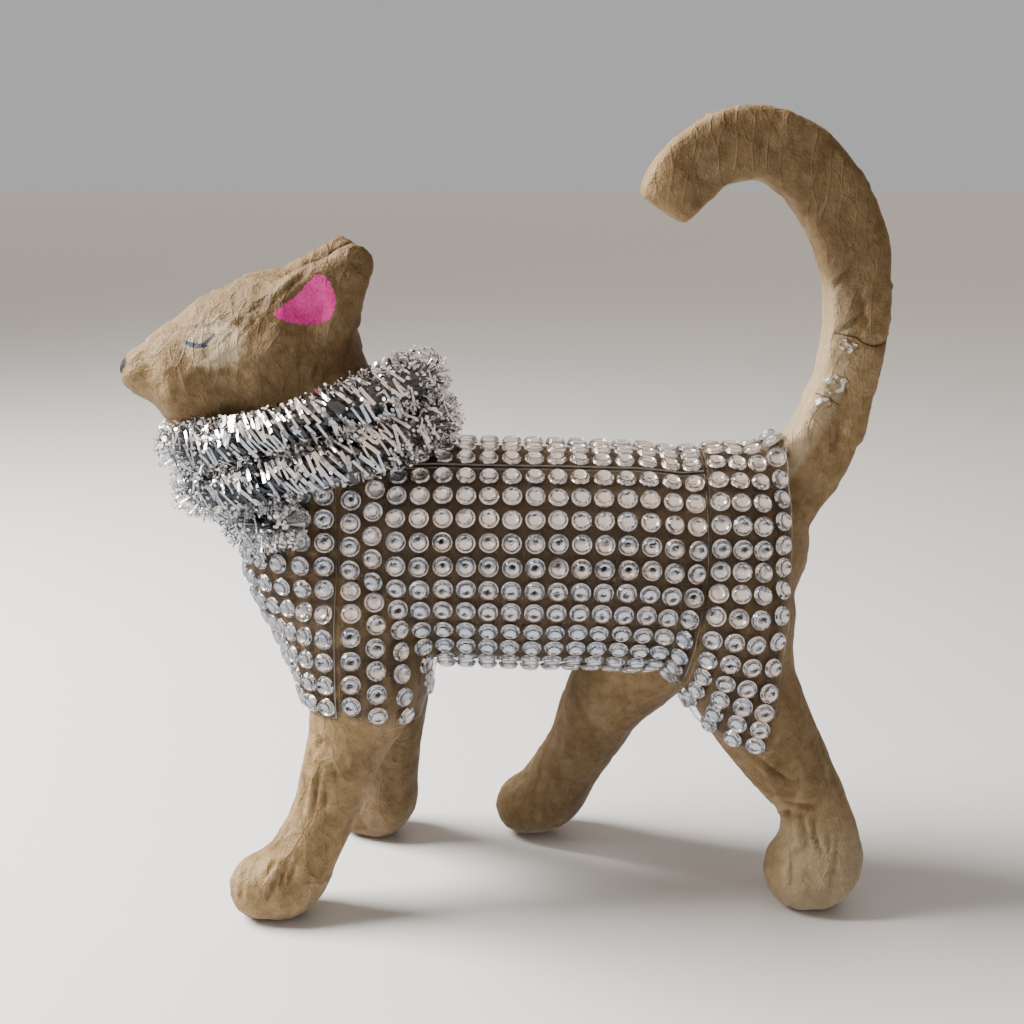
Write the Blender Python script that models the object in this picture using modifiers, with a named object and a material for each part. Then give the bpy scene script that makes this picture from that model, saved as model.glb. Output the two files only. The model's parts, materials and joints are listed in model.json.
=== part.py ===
"""A walking cat in papier-mache, dressed in rhinestone sheets, with a tinsel garland round its neck.

The cat looks along -X with its left side towards -Y, and stands on Z = 0 under the middle of its box.
The pose is drawn on a side view squared up like a craft pattern: POSE_SQUARES squares from the floor
to the top of the tail. Positions and girths of the cat are in those squares; the rhinestones, their
film, the garland and the gaps have real sizes of their own.
"""

import math

import bmesh
import bpy
import numpy as np
from mathutils import Matrix, Vector, noise
from mathutils.bvhtree import BVHTree

MM = 0.001

# The papier-mache cat
FIGURE_HEIGHT = 168 * MM
POSE_SQUARES = 168
SQUARE = FIGURE_HEIGHT / POSE_SQUARES
HEAD_TURN = math.radians(-12)  # towards the cat's left

# Rhinestones on their clear film
GEM_DIAMETER = 4.0 * MM
GEM_SPACING = 0.7 * MM
GEM_HEIGHT = 1.4 * MM
FILM_THICKNESS = 0.4 * MM
SEAM_GAP = 0.6 * MM
GEM_PITCH = GEM_DIAMETER + GEM_SPACING
CONTACT_GAP = 0.3 * MM

# The tinsel garland
GARLAND_DIAMETER = 9.4 * MM
GARLAND_SWELL = 1.3  # it fans out where it turns tightly, under the chin and at the nape
TUFT_DEPTH = 1.2 * MM
TUFT_LENGTH = 3.2 * MM
GARLAND_TURNS = (0.06, 2.42)  # counted from the cat's right side, over the chest first

# How finely the solids are cut
BLEND_VOXEL = 1.0 * SQUARE
BODY_TRIANGLES = 3250
GARLAND_TRIANGLES = 1300
RAY_STEP = math.radians(1.5)

PAPER = ("kraft_paper", (0.42, 0.29, 0.16, 1.0), 0.55, 0.0)
FILM = ("rhinestone_film", (0.80, 0.81, 0.83, 1.0), 0.12, 0.6)
TINSEL = ("silver_tinsel", (0.74, 0.75, 0.78, 1.0), 0.22, 0.9)

# Limbs as stations along their middle line: x, y, z and radius, in squares
TRUNK = ((-38, 0, 77, 18.5), (-25, 0, 76, 22.4), (-5, 0, 75, 23.3), (15, 0, 74.5, 23.3),
         (32, 0, 74.5, 22.8), (43.5, 0, 77.5, 19.9))
BRISKET = ((-38, 0, 77, 18.5), (-36.5, 0, 66, 16.5), (-35.5, 0, 57.5, 13.5))
NECK = ((-46.5, 0, 116, 15), (-40, 0, 98, 16.8), (-36, 0, 84, 18))
SKULL = ((-48, 0, 118, 17.2), (-58, 0, 116.8, 14.4), (-67, 0, 114.2, 11.5), (-71.6, 0, 114.6, 10.1),
         (-74.6, 0, 114.6, 5.9))
EAR = ((-44, -9, 123.5, 10.4), (-38.8, -12, 130, 8.6), (-33.6, -14, 136.3, 4.9))
TAIL = ((50, 0, 84, 11.3), (57.3, 0, 90, 9.1), (63.6, 0, 97, 7.3), (68, 0, 108, 6.4),
        (70.2, 0, 118.6, 6.2), (70.8, 0, 129, 6.4), (68.8, 0, 139.3, 7), (64.4, 0, 148.7, 7.3),
        (57.7, 0, 156.2, 7.3), (48.5, 0, 159.9, 7.2), (39.8, 0, 157.6, 6.9), (33.6, 0, 152, 6.8),
        (30, 0, 146.6, 5.6))
LEFT_FORELEG = ((-33, -10, 62, 13.5), (-31.4, -12.2, 48.5, 12.2), (-34, -13.6, 39.5, 9.4),
                (-36.6, -14.5, 32, 8), (-39.8, -15.8, 22, 7.1), (-44, -17, 13.5, 7.4), (-48.5, -17.8, 7.5, 8.3), (-53, -18.3, 6.5, 7.4))
RIGHT_FORELEG = ((-29, 10, 62, 12.5), (-27.5, 13, 46, 10), (-28.5, 15.6, 30, 8.3),
                 (-29.6, 18.4, 17, 7.7), (-31.6, 20.4, 7.5, 8.2), (-35.6, 21.4, 6.5, 7.3))
LEFT_HINDLEG = ((44.5, -8, 64, 15.2), (48, -10, 51, 12), (53, -11.6, 41, 10.6),
                (59.4, -12.4, 31, 8.9), (64.3, -13, 22.5, 7.6), (66, -13.4, 14, 9),
                (65.2, -13.6, 9, 9.8), (62.7, -14, 8.2, 9))
RIGHT_HINDLEG = ((38, 8, 64, 16.5), (29, 11.4, 48, 12.5), (21.5, 13.6, 37, 10.1), (17.5, 16, 27, 8.5),
                 (13, 18.6, 18, 7.9), (8, 20.8, 9.2, 8.6), (3, 21.6, 6.5, 7.4))
TRUNK_FLATNESS = 0.9  # width over height
HEAD_FLATNESS = 0.94
EAR_FLATNESS = 0.58
TAIL_HALF_WIDTH = 5.6  # the tail is squared, with its sides flat to this, in squares

# The thumb-pressed hollow of each ear: middle, radius and depth, in squares
EAR_HOLLOW = ((-43.2, -17, 127.6), 8, 3.2)
HEAD_PIVOT = Vector((-46.5, 0, 118)) * SQUARE

# Where the sheets lie: places in squares, and rows of rhinestones where a sheet ends freely
TRUNK_AXIS_Z = 75
SHOULDER_SEAM_X = -35
HAUNCH_SEAM_X = 39.6
NAPE_EDGE_X = -21
TAIL_EDGE_X = 56.6
CHEST_LOW_Z = 46.5
CHEST_HIGH_Z = 93.5
BACK_HALF_ANGLE = math.radians(26)
LOWEST_GIRTH = math.radians(175)
SHOULDER_HEM_Z = 45  # the flank sheets end level with this on the forelegs
FLANK_ROWS = 12
LEFT_RUMP_ROWS, RIGHT_RUMP_ROWS = 15, 12
LEFT_THIGH_LEAN, RIGHT_THIGH_LEAN = -0.12, -0.35  # slide forward for each step down the girth

# The garland's ring round the neck, in squares
RING_CENTRE = (-42.2, 0, 101.5)
RING_REACH_X, RING_REACH_Y = 25.3, 20.6
RING_TILT = math.radians(-17)
RING_DROP = 9.0  # from one turn to the next
RING_SPREAD_Y = 0.7  # the lower turns lie wider, on the shoulders
RING_TUCK_X = 7.5  # how far the loose end is drawn in against the chest
TUCK_TURNS = (1.8, 2.2)  # over which it is drawn in


def clear_scene():
    for obj in list(bpy.data.objects):
        bpy.data.objects.remove(obj)


def new_collection(name):
    found = bpy.data.collections.new(name)
    bpy.context.scene.collection.children.link(found)
    return found


def material(finish):
    name, colour, roughness, metallic = finish
    made = bpy.data.materials.new(name)
    made.use_nodes = True
    shader = made.node_tree.nodes["Principled BSDF"]
    shader.inputs["Base Color"].default_value = colour
    shader.inputs["Roughness"].default_value = roughness
    shader.inputs["Metallic"].default_value = metallic
    made.diffuse_color = colour
    return made


def as_mesh(obj):
    """Swap an object for a plain mesh of how it looks with its modifiers."""
    graph = bpy.context.evaluated_depsgraph_get()
    graph.update()
    mesh = bpy.data.meshes.new_from_object(obj.evaluated_get(graph))
    mesh.transform(obj.matrix_world)
    plain = bpy.data.objects.new(obj.name, mesh)
    for home in obj.users_collection:
        home.objects.link(plain)
    name = obj.name
    bpy.data.objects.remove(obj)
    plain.name = name
    return plain


def as_cutter(obj):
    obj.hide_render = True
    obj.display_type = "WIRE"
    return obj


def limb(name, stations, workshop, flatness=1.0, squared=False):
    """A tapered tube through the stations with a ball at each end, or a squared one with a blunt tip."""
    curve = bpy.data.curves.new(name, "CURVE")
    curve.dimensions = "3D"
    curve.bevel_depth = SQUARE * (math.sqrt(2) if squared else 1)
    curve.bevel_resolution = 0 if squared else 6
    curve.resolution_u = 8
    curve.use_fill_caps = True
    spline = curve.splines.new("BEZIER")
    spline.radius_interpolation = "CARDINAL"
    spline.bezier_points.add(len(stations) - 1)
    for point, (x, y, z, radius) in zip(spline.bezier_points, stations):
        point.co = Vector((x, y, z)) * SQUARE
        point.radius = radius
        point.tilt = math.pi / 4 if squared else 0
        point.handle_left_type = point.handle_right_type = "AUTO"
    tube = bpy.data.objects.new(name, curve)
    workshop.objects.link(tube)
    tube = as_mesh(tube)
    shaped = bmesh.new()
    shaped.from_mesh(tube.data)
    for x, y, z, radius in stations[:1] if squared else (stations[0], stations[-1]):
        place = Matrix.Translation(Vector((x, y, z)) * SQUARE)
        bmesh.ops.create_icosphere(shaped, subdivisions=3, radius=radius * SQUARE, matrix=place)
    middle = stations[0][1] * SQUARE
    for vertex in shaped.verts:
        vertex.co.y = middle + (vertex.co.y - middle) * flatness
    shaped.to_mesh(tube.data)
    shaped.free()
    return tube


def flatten_sides(obj, half_width):
    for vertex in obj.data.vertices:
        vertex.co.y = min(max(vertex.co.y, -half_width), half_width)
    return obj


def mirrored(stations):
    return tuple((x, -y, z, radius) for x, y, z, radius in stations)


def turn_head(pieces):
    turn = (Matrix.Translation(HEAD_PIVOT) @ Matrix.Rotation(-HEAD_TURN, 4, "Z")
            @ Matrix.Translation(-HEAD_PIVOT))
    for piece in pieces:
        piece.data.transform(turn)
    return turn


def fuse(pieces, name, voxel, smoothing):
    """Blend overlapping closed pieces into one rounded skin."""
    joined = bmesh.new()
    home = pieces[0].users_collection[0]
    for piece in pieces:
        joined.from_mesh(piece.data)
        bpy.data.objects.remove(piece)
    mesh = bpy.data.meshes.new(name)
    joined.to_mesh(mesh)
    joined.free()
    skin = bpy.data.objects.new(name, mesh)
    home.objects.link(skin)
    remesh = skin.modifiers.new("Blend", "REMESH")
    remesh.mode = "VOXEL"
    remesh.voxel_size = voxel
    relax = skin.modifiers.new("Relax", "SMOOTH")
    relax.factor = 0.5
    relax.iterations = smoothing
    return as_mesh(skin)


def press(obj, centre, towards, radius, depth):
    """Push the skin in with a round thumb, deepest in the middle."""
    count = len(obj.data.vertices)
    flat = np.empty(count * 3)
    obj.data.vertices.foreach_get("co", flat)
    points = flat.reshape(-1, 3)
    distance = np.linalg.norm(points - np.array(centre), axis=1) / radius
    fade = np.clip(1 - distance**2, 0, 1) ** 2
    points += np.outer(fade * depth, np.array(towards))
    obj.data.vertices.foreach_set("co", points.ravel())
    obj.data.update()


def thin_out(obj, triangles):
    obj.data.calc_loop_triangles()
    thin = obj.modifiers.new("Thin out", "DECIMATE")
    thin.ratio = triangles / len(obj.data.loop_triangles)
    return as_mesh(obj)


def cut_away(obj, cutters):
    for cutter in cutters:
        cut = obj.modifiers.new("Cut " + cutter.name, "BOOLEAN")
        cut.operation = "DIFFERENCE"
        cut.object = as_cutter(cutter)
    return as_mesh(obj)


def floor_cutter(workshop):
    side = 2 * FIGURE_HEIGHT
    mesh = bpy.data.meshes.new("floor_cutter")
    block = bmesh.new()
    bmesh.ops.create_cube(block, size=side, matrix=Matrix.Translation((0, 0, -side / 2)))
    block.to_mesh(mesh)
    block.free()
    cutter = bpy.data.objects.new("floor_cutter", mesh)
    workshop.objects.link(cutter)
    return cutter


def make_cat(workshop):
    head = [limb("skull", SKULL, workshop, HEAD_FLATNESS),
            limb("left_ear", EAR, workshop, EAR_FLATNESS),
            limb("right_ear", mirrored(EAR), workshop, EAR_FLATNESS)]
    turn = turn_head(head)
    rest = [limb("trunk", TRUNK, workshop, TRUNK_FLATNESS), limb("brisket", BRISKET, workshop),
            limb("neck", NECK, workshop, HEAD_FLATNESS)]
    tail = limb("tail", TAIL, workshop, squared=True)
    rest.append(flatten_sides(tail, TAIL_HALF_WIDTH * SQUARE))
    legs = {"left_foreleg": LEFT_FORELEG, "right_foreleg": RIGHT_FORELEG,
            "left_hindleg": LEFT_HINDLEG, "right_hindleg": RIGHT_HINDLEG}
    for name, stations in legs.items():
        rest.append(limb(name, stations, workshop))
    cat = fuse(head + rest, "paper_cat", BLEND_VOXEL, 14)
    (x, y, z), radius, depth = EAR_HOLLOW
    for side in (1, -1):
        centre = turn @ (Vector((x, y * side, z)) * SQUARE)
        inward = (turn.to_3x3() @ Vector((0.35, side, -0.15))).normalized()
        press(cat, centre, inward, radius * SQUARE, depth * SQUARE)
    cat = thin_out(cat, BODY_TRIANGLES)
    return cut_away(cat, [floor_cutter(workshop)])


def skin_of(obj):
    surface = bmesh.new()
    surface.from_mesh(obj.data)
    tree = BVHTree.FromBMesh(surface)
    surface.free()
    return tree


def outward_hit(skin, origin, direction):
    """Where a ray from inside the solid first comes out."""
    return skin.ray_cast(origin, direction)[0]


def run_length(points):
    return sum((b - a).length for a, b in zip(points, points[1:]))


def walk(points, steps):
    """Places at the given distances along a run of points: a fractional index and a point."""
    run = [run_length(points[:i + 1]) for i in range(len(points))]
    found = []
    for step in steps:
        index = max(i for i in range(len(run) - 1) if run[i] <= step or i == 0)
        share = min((step - run[index]) / (run[index + 1] - run[index]), 1)
        found.append((index + share, points[index].lerp(points[index + 1], share)))
    return found


def counted(length):
    """How many rhinestones fit a length at about the pitch."""
    return max(1, round(length / GEM_PITCH))


def spaced(low, high, count):
    return [low + (high - low) * i / count for i in range(count + 1)]


def girth_direction(side, angle):
    """Outward from the trunk's axis, at an angle from straight up."""
    return Vector((0, side * math.sin(angle), math.cos(angle)))


def side_patch(skin, side, x_range, top, rows, lean, hem=0):
    """Grid of points on the trunk's left (-1) or right (1) side, rows from the top down.

    Rows are a pitch apart along the girth, from the top angle on, or a little closer where the
    hem is met first. Below the trunk's axis they slide along X by the lean, one share for the
    patch's front edge and one for its rear edge, which the columns near it take up.
    """
    columns = spaced(*x_range, counted(x_range[1] - x_range[0]))
    angles = spaced(top, LOWEST_GIRTH, round((LOWEST_GIRTH - top) / RAY_STEP))
    level = sum(1 for angle in angles if angle < math.pi / 2)
    steps = [SEAM_GAP / 2 + GEM_PITCH * i for i in range(rows + 1)]
    grid = [[] for _ in steps]
    for j, x in enumerate(columns):
        slope = lean[0] + (lean[1] - lean[0]) * (j / (len(columns) - 1)) ** 2
        origin = Vector((x, 0, TRUNK_AXIS_Z * SQUARE))
        run = [outward_hit(skin, origin, girth_direction(side, angle)) for angle in angles]
        axis_girth = run_length(run[:level + 1])
        above_hem = sum(1 for point in run if point.z > hem)
        fit = min(1, run_length(run[:above_hem]) / steps[-1])
        for i, (place, _) in enumerate(walk(run, [step * fit for step in steps])):
            angle = top + (angles[1] - angles[0]) * place
            start = origin + Vector((slope * max(0, steps[i] - axis_girth), 0, 0))
            grid[i].append(outward_hit(skin, start, girth_direction(side, angle)))
    return grid


def back_patch(skin, x_range, half_angle):
    """Grid of points over the spine, from the left edge to the right edge."""
    columns = spaced(*x_range, counted(x_range[1] - x_range[0]))
    angles = spaced(-half_angle, half_angle, round(2 * half_angle / RAY_STEP))
    runs = []
    for x in columns:
        origin = Vector((x, 0, TRUNK_AXIS_Z * SQUARE))
        runs.append([outward_hit(skin, origin, girth_direction(1, angle)) for angle in angles])
    rows = counted(max(run_length(run) for run in runs))
    grid = [[] for _ in range(rows + 1)]
    for run in runs:
        steps = spaced(SEAM_GAP / 2, run_length(run) - SEAM_GAP / 2, rows)
        for i, (_, point) in enumerate(walk(run, steps)):
            grid[i].append(point)
    return grid


def chest_patch(skin, x_edge, z_range):
    """Grid of points round the front of the chest, rows from the top down."""
    levels = spaced(z_range[1], z_range[0], counted(z_range[1] - z_range[0]))
    runs = []
    for z in levels:
        origin = Vector((x_edge, 0, z))
        angles = spaced(0, math.pi, round(math.pi / RAY_STEP))
        runs.append([outward_hit(skin, origin, Vector((-math.sin(a), -math.cos(a), 0)))
                     for a in angles])
    columns = counted(max(run_length(run) for run in runs))
    grid = []
    for run in runs:
        steps = spaced(0, run_length(run), columns)
        grid.append([point for _, point in walk(run, steps)])
    return grid


def clearance(skin, point):
    """Distance from the skin to a point outside it, below zero for a point inside."""
    place, normal, _, distance = skin.find_nearest(point)
    if (point - place).dot(normal) >= 0:
        return distance
    crossings = 0
    start, upward = point.copy(), Vector((0.01, 0.02, 1))
    while start is not None:
        start = skin.ray_cast(start, upward)[0]
        if start is not None:
            crossings += 1
            start = start + upward * 1e-7
    return -distance if crossings % 2 else distance


def face_samples(face):
    """Points spread over a four-sided face, folded along either diagonal."""
    a, b, c, d = (vertex.co for vertex in face.verts)
    shares = spaced(0, 1, 4)
    samples = []
    for start, tip, end in ((a, b, c), (a, d, c), (b, c, d), (b, a, d)):
        samples += [start.lerp(end, u).lerp(tip, v) for u in shares for v in shares[:-1]]
    return samples


def lift_clear(sheet, skin, gap):
    """Raise a sheet's vertices until none of its faces comes nearer the skin than the gap."""
    for _ in range(20):
        sheet.normal_update()
        raise_by = {}
        for face in sheet.faces:
            worst = max(gap - clearance(skin, point) for point in face_samples(face))
            for vertex in face.verts:
                raise_by[vertex] = max(raise_by.get(vertex, 0.0), worst)
        if max(raise_by.values()) < 0.05 * gap:
            return
        for vertex, height in raise_by.items():
            vertex.co += vertex.normal * height


def sheet_surface(grid, skin, inside):
    """An open sheet on the grid's points, facing out and clear of the skin."""
    rows, columns = len(grid), len(grid[0])
    sheet = bmesh.new()
    bmesh.ops.create_grid(sheet, x_segments=columns - 1, y_segments=rows - 1, size=0.5)
    sheet.verts.ensure_lookup_table()
    for vertex in sheet.verts:
        column = round((vertex.co.x + 0.5) * (columns - 1))
        row = round((0.5 - vertex.co.y) * (rows - 1))
        vertex.co = grid[row][column]
    sheet.normal_update()
    facing = sum((face.calc_center_median() - inside).dot(face.normal) for face in sheet.faces)
    if facing < 0:
        bmesh.ops.reverse_faces(sheet, faces=sheet.faces)
    lift_clear(sheet, skin, CONTACT_GAP)
    sheet.normal_update()
    return sheet


def thicken(sheet, thickness):
    """Close the open sheet into a slab and return its outer faces."""
    outward = {vertex: vertex.normal.copy() for vertex in sheet.verts}
    under = list(sheet.faces)
    top = bmesh.ops.duplicate(sheet, geom=sheet.faces)
    faces = [item for item in top["geom"] if isinstance(item, bmesh.types.BMFace)]
    for old, new in top["vert_map"].items():
        if old in outward:
            new.co = old.co + outward[old] * thickness
    rims = [edge for edge in sheet.edges if edge.is_boundary]
    bmesh.ops.reverse_faces(sheet, faces=under)
    bmesh.ops.bridge_loops(sheet, edges=rims)
    return faces


def sheet_solid(name, grid, skin, inside, home, finish):
    sheet = sheet_surface(grid, skin, inside)
    stones = thicken(sheet, FILM_THICKNESS)
    bmesh.ops.poke(sheet, faces=stones, offset=GEM_HEIGHT, center_mode="MEAN")
    bmesh.ops.recalc_face_normals(sheet, faces=sheet.faces)
    mesh = bpy.data.meshes.new(name)
    sheet.to_mesh(mesh)
    sheet.free()
    mesh.materials.append(finish)
    obj = bpy.data.objects.new(name, mesh)
    home.objects.link(obj)
    return obj


def swollen(obj, gap):
    """Grow a solid by a gap, to cut what rests against it."""
    grow = obj.modifiers.new("Grow", "DISPLACE")
    grow.strength = gap
    grow.mid_level = 0
    return as_mesh(obj)


def sheet_room(name, grid, skin, inside, workshop):
    """A plain slab that a sheet and its stones stay inside, with the contact gap all round."""
    sheet = sheet_surface(grid, skin, inside)
    thicken(sheet, FILM_THICKNESS + GEM_HEIGHT)
    bmesh.ops.recalc_face_normals(sheet, faces=sheet.faces)
    mesh = bpy.data.meshes.new(name)
    sheet.to_mesh(mesh)
    sheet.free()
    slab = bpy.data.objects.new(name, mesh)
    workshop.objects.link(slab)
    return swollen(slab, 1.5 * CONTACT_GAP)


def sheet_grids(skin):
    """Every rhinestone sheet's grid."""
    half_seam = SEAM_GAP / 2
    shoulder, haunch = SHOULDER_SEAM_X * SQUARE, HAUNCH_SEAM_X * SQUARE
    grids = {
        "back_sheet": back_patch(skin, (NAPE_EDGE_X * SQUARE, haunch - half_seam), BACK_HALF_ANGLE),
        "chest_sheet": chest_patch(skin, shoulder - half_seam,
                                   (CHEST_LOW_Z * SQUARE, CHEST_HIGH_Z * SQUARE))}
    for side, word, rump_rows, lean in ((-1, "left", LEFT_RUMP_ROWS, LEFT_THIGH_LEAN),
                                        (1, "right", RIGHT_RUMP_ROWS, RIGHT_THIGH_LEAN)):
        grids[word + "_flank_sheet"] = side_patch(
            skin, side, (shoulder + half_seam, haunch - half_seam), BACK_HALF_ANGLE, FLANK_ROWS,
            (0, lean), SHOULDER_HEM_Z * SQUARE)
        grids[word + "_rump_sheet"] = side_patch(
            skin, side, (haunch + half_seam, TAIL_EDGE_X * SQUARE), 0, rump_rows, (lean, lean))
    return grids


def ring_point(turns):
    """Middle of the garland after so many turns, in metres."""
    angle = 2 * math.pi * turns
    drop = RING_DROP * (turns + math.sin(angle) / (2 * math.pi) - 1)
    start, end = TUCK_TURNS
    tuck = min(max((turns - start) / (end - start), 0), 1)
    along = -(RING_REACH_X - RING_TUCK_X * tuck) * math.sin(angle)
    across = (RING_REACH_Y + RING_SPREAD_Y * turns) * math.cos(angle)
    tilt = Matrix.Rotation(RING_TILT, 3, "Y")
    return (Vector(RING_CENTRE) + tilt @ Vector((along, across, -drop))) * SQUARE


def tufted(obj):
    """Ruffle the tube's surface into the short tufts that its foil strips make."""
    for vertex in obj.data.vertices:
        ruffle = noise.noise(vertex.co / TUFT_LENGTH, noise_basis="PERLIN_ORIGINAL")
        vertex.co += vertex.normal * ruffle * TUFT_DEPTH


def make_garland(cutters, workshop):
    curve = bpy.data.curves.new("tinsel_garland", "CURVE")
    curve.dimensions = "3D"
    curve.bevel_depth = GARLAND_DIAMETER / 2
    curve.bevel_resolution = 3
    curve.use_fill_caps = True
    first, last = GARLAND_TURNS
    count = round((last - first) * 32)
    spline = curve.splines.new("POLY")
    spline.points.add(count)
    for point, turns in zip(spline.points, spaced(first, last, count)):
        point.co = (*ring_point(turns), 1.0)
        point.radius = 1 + (GARLAND_SWELL - 1) * abs(math.sin(2 * math.pi * turns))
    tube = bpy.data.objects.new("tinsel_garland", curve)
    workshop.objects.link(tube)
    tube = fuse([as_mesh(tube)], "tinsel_garland", 0.08 * GARLAND_DIAMETER, 3)
    tufted(tube)
    tube = thin_out(tube, GARLAND_TRIANGLES)
    return cut_away(tube, cutters)


def keep_largest(obj):
    """Drop the crumbs that a cut leaves beside the main piece."""
    piece = bmesh.new()
    piece.from_mesh(obj.data)
    left = set(piece.verts)
    islands = []
    while left:
        queue, island = [left.pop()], set()
        while queue:
            vertex = queue.pop()
            island.add(vertex)
            for edge in vertex.link_edges:
                other = edge.other_vert(vertex)
                if other in left:
                    left.remove(other)
                    queue.append(other)
        islands.append(island)
    islands.sort(key=len)
    for island in islands[:-1]:
        bmesh.ops.delete(piece, geom=list(island), context="VERTS")
    piece.to_mesh(obj.data)
    piece.free()
    return obj


def centre_on_floor(objects):
    """Move the whole figure so that the middle of its box is over the origin."""
    corners = np.array([vertex.co for obj in objects for vertex in obj.data.vertices])
    middle = (corners.min(axis=0) + corners.max(axis=0)) / 2
    shift = Matrix.Translation((-middle[0], -middle[1], 0))
    for obj in objects:
        obj.data.transform(shift)
        obj.data.update()


def dress(obj, home, finish):
    for place in list(obj.users_collection):
        place.objects.unlink(obj)
    home.objects.link(obj)
    obj.data.materials.clear()
    obj.data.materials.append(finish)


def main():
    clear_scene()
    home = new_collection("rhinestone_cat")
    workshop = new_collection("cutters")
    paper, film, tinsel = material(PAPER), material(FILM), material(TINSEL)
    cat = make_cat(workshop)
    skin = skin_of(cat)
    inside = Vector((0, 0, TRUNK_AXIS_Z * SQUARE))
    chest_inside = Vector((SHOULDER_SEAM_X, 0, TRUNK_AXIS_Z)) * SQUARE
    made, rooms = [cat], []
    for name, grid in sheet_grids(skin).items():
        middle = chest_inside if name == "chest_sheet" else inside
        made.append(sheet_solid(name, grid, skin, middle, home, film))
        rooms.append(sheet_room(name + "_room", grid, skin, middle, workshop))
    cat_room = bpy.data.objects.new("cat_room", cat.data.copy())
    workshop.objects.link(cat_room)
    cat_room = swollen(cat_room, 1.5 * CONTACT_GAP)
    garland = keep_largest(make_garland([cat_room] + rooms, workshop))
    made.append(garland)
    dress(cat, home, paper)
    dress(garland, home, tinsel)
    centre_on_floor(made)


main()
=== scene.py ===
"""A rhinestone cat: crumpled kraft papier-mache, cut stones on clear film, and a tinsel garland.

Lengths are in metres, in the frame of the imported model: the cat looks along -X, its left side
faces -Y, and it stands on Z = 0.
"""

from __future__ import annotations

import json
import logging
import math
from dataclasses import dataclass, field
from enum import Enum

import bmesh
import bpy
import numpy as np
from mathutils import Matrix, Vector, noise
from mathutils.bvhtree import BVHTree
from mathutils.kdtree import KDTree

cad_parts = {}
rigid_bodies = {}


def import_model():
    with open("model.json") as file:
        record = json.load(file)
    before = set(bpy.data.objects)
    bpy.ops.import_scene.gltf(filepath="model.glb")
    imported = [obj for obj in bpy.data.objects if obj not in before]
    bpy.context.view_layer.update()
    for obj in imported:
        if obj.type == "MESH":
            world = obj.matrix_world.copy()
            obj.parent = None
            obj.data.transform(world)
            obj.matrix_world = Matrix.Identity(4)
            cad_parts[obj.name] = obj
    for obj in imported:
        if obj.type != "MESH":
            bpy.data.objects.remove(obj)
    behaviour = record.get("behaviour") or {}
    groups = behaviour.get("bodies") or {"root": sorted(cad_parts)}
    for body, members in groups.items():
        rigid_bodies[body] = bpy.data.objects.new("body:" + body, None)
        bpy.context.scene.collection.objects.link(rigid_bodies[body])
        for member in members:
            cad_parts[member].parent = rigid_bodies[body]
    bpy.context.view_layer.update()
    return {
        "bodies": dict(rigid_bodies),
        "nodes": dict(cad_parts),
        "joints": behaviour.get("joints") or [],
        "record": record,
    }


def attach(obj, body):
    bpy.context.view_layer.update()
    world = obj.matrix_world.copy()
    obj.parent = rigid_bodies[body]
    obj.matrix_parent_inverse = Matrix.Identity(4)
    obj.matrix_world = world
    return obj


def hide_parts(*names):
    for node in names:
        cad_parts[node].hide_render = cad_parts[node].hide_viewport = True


MM = 0.001
BODY = "root"
LOG = logging.getLogger("rhinestone_cat")

Colour = tuple[float, float, float, float]
Array = np.ndarray


class Piece(Enum):
    """The CAD nodes of the cat, by what they are."""

    CAT = "paper_cat"
    GARLAND = "tinsel_garland"
    CHEST = "chest_sheet"
    BACK = "back_sheet"
    LEFT_FLANK = "left_flank_sheet"
    RIGHT_FLANK = "right_flank_sheet"
    LEFT_RUMP = "left_rump_sheet"
    RIGHT_RUMP = "right_rump_sheet"


class Slot(Enum):
    """The material slots that the record names."""

    PAPER = "kraft_paper"
    FILM = "rhinestone_film"
    TINSEL = "silver_tinsel"


SHEETS = (Piece.CHEST, Piece.BACK, Piece.LEFT_FLANK, Piece.RIGHT_FLANK, Piece.LEFT_RUMP,
          Piece.RIGHT_RUMP)


def grey(value: float) -> Colour:
    """An opaque grey."""
    return (value, value, value, 1.0)


# Shader wiring


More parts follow.
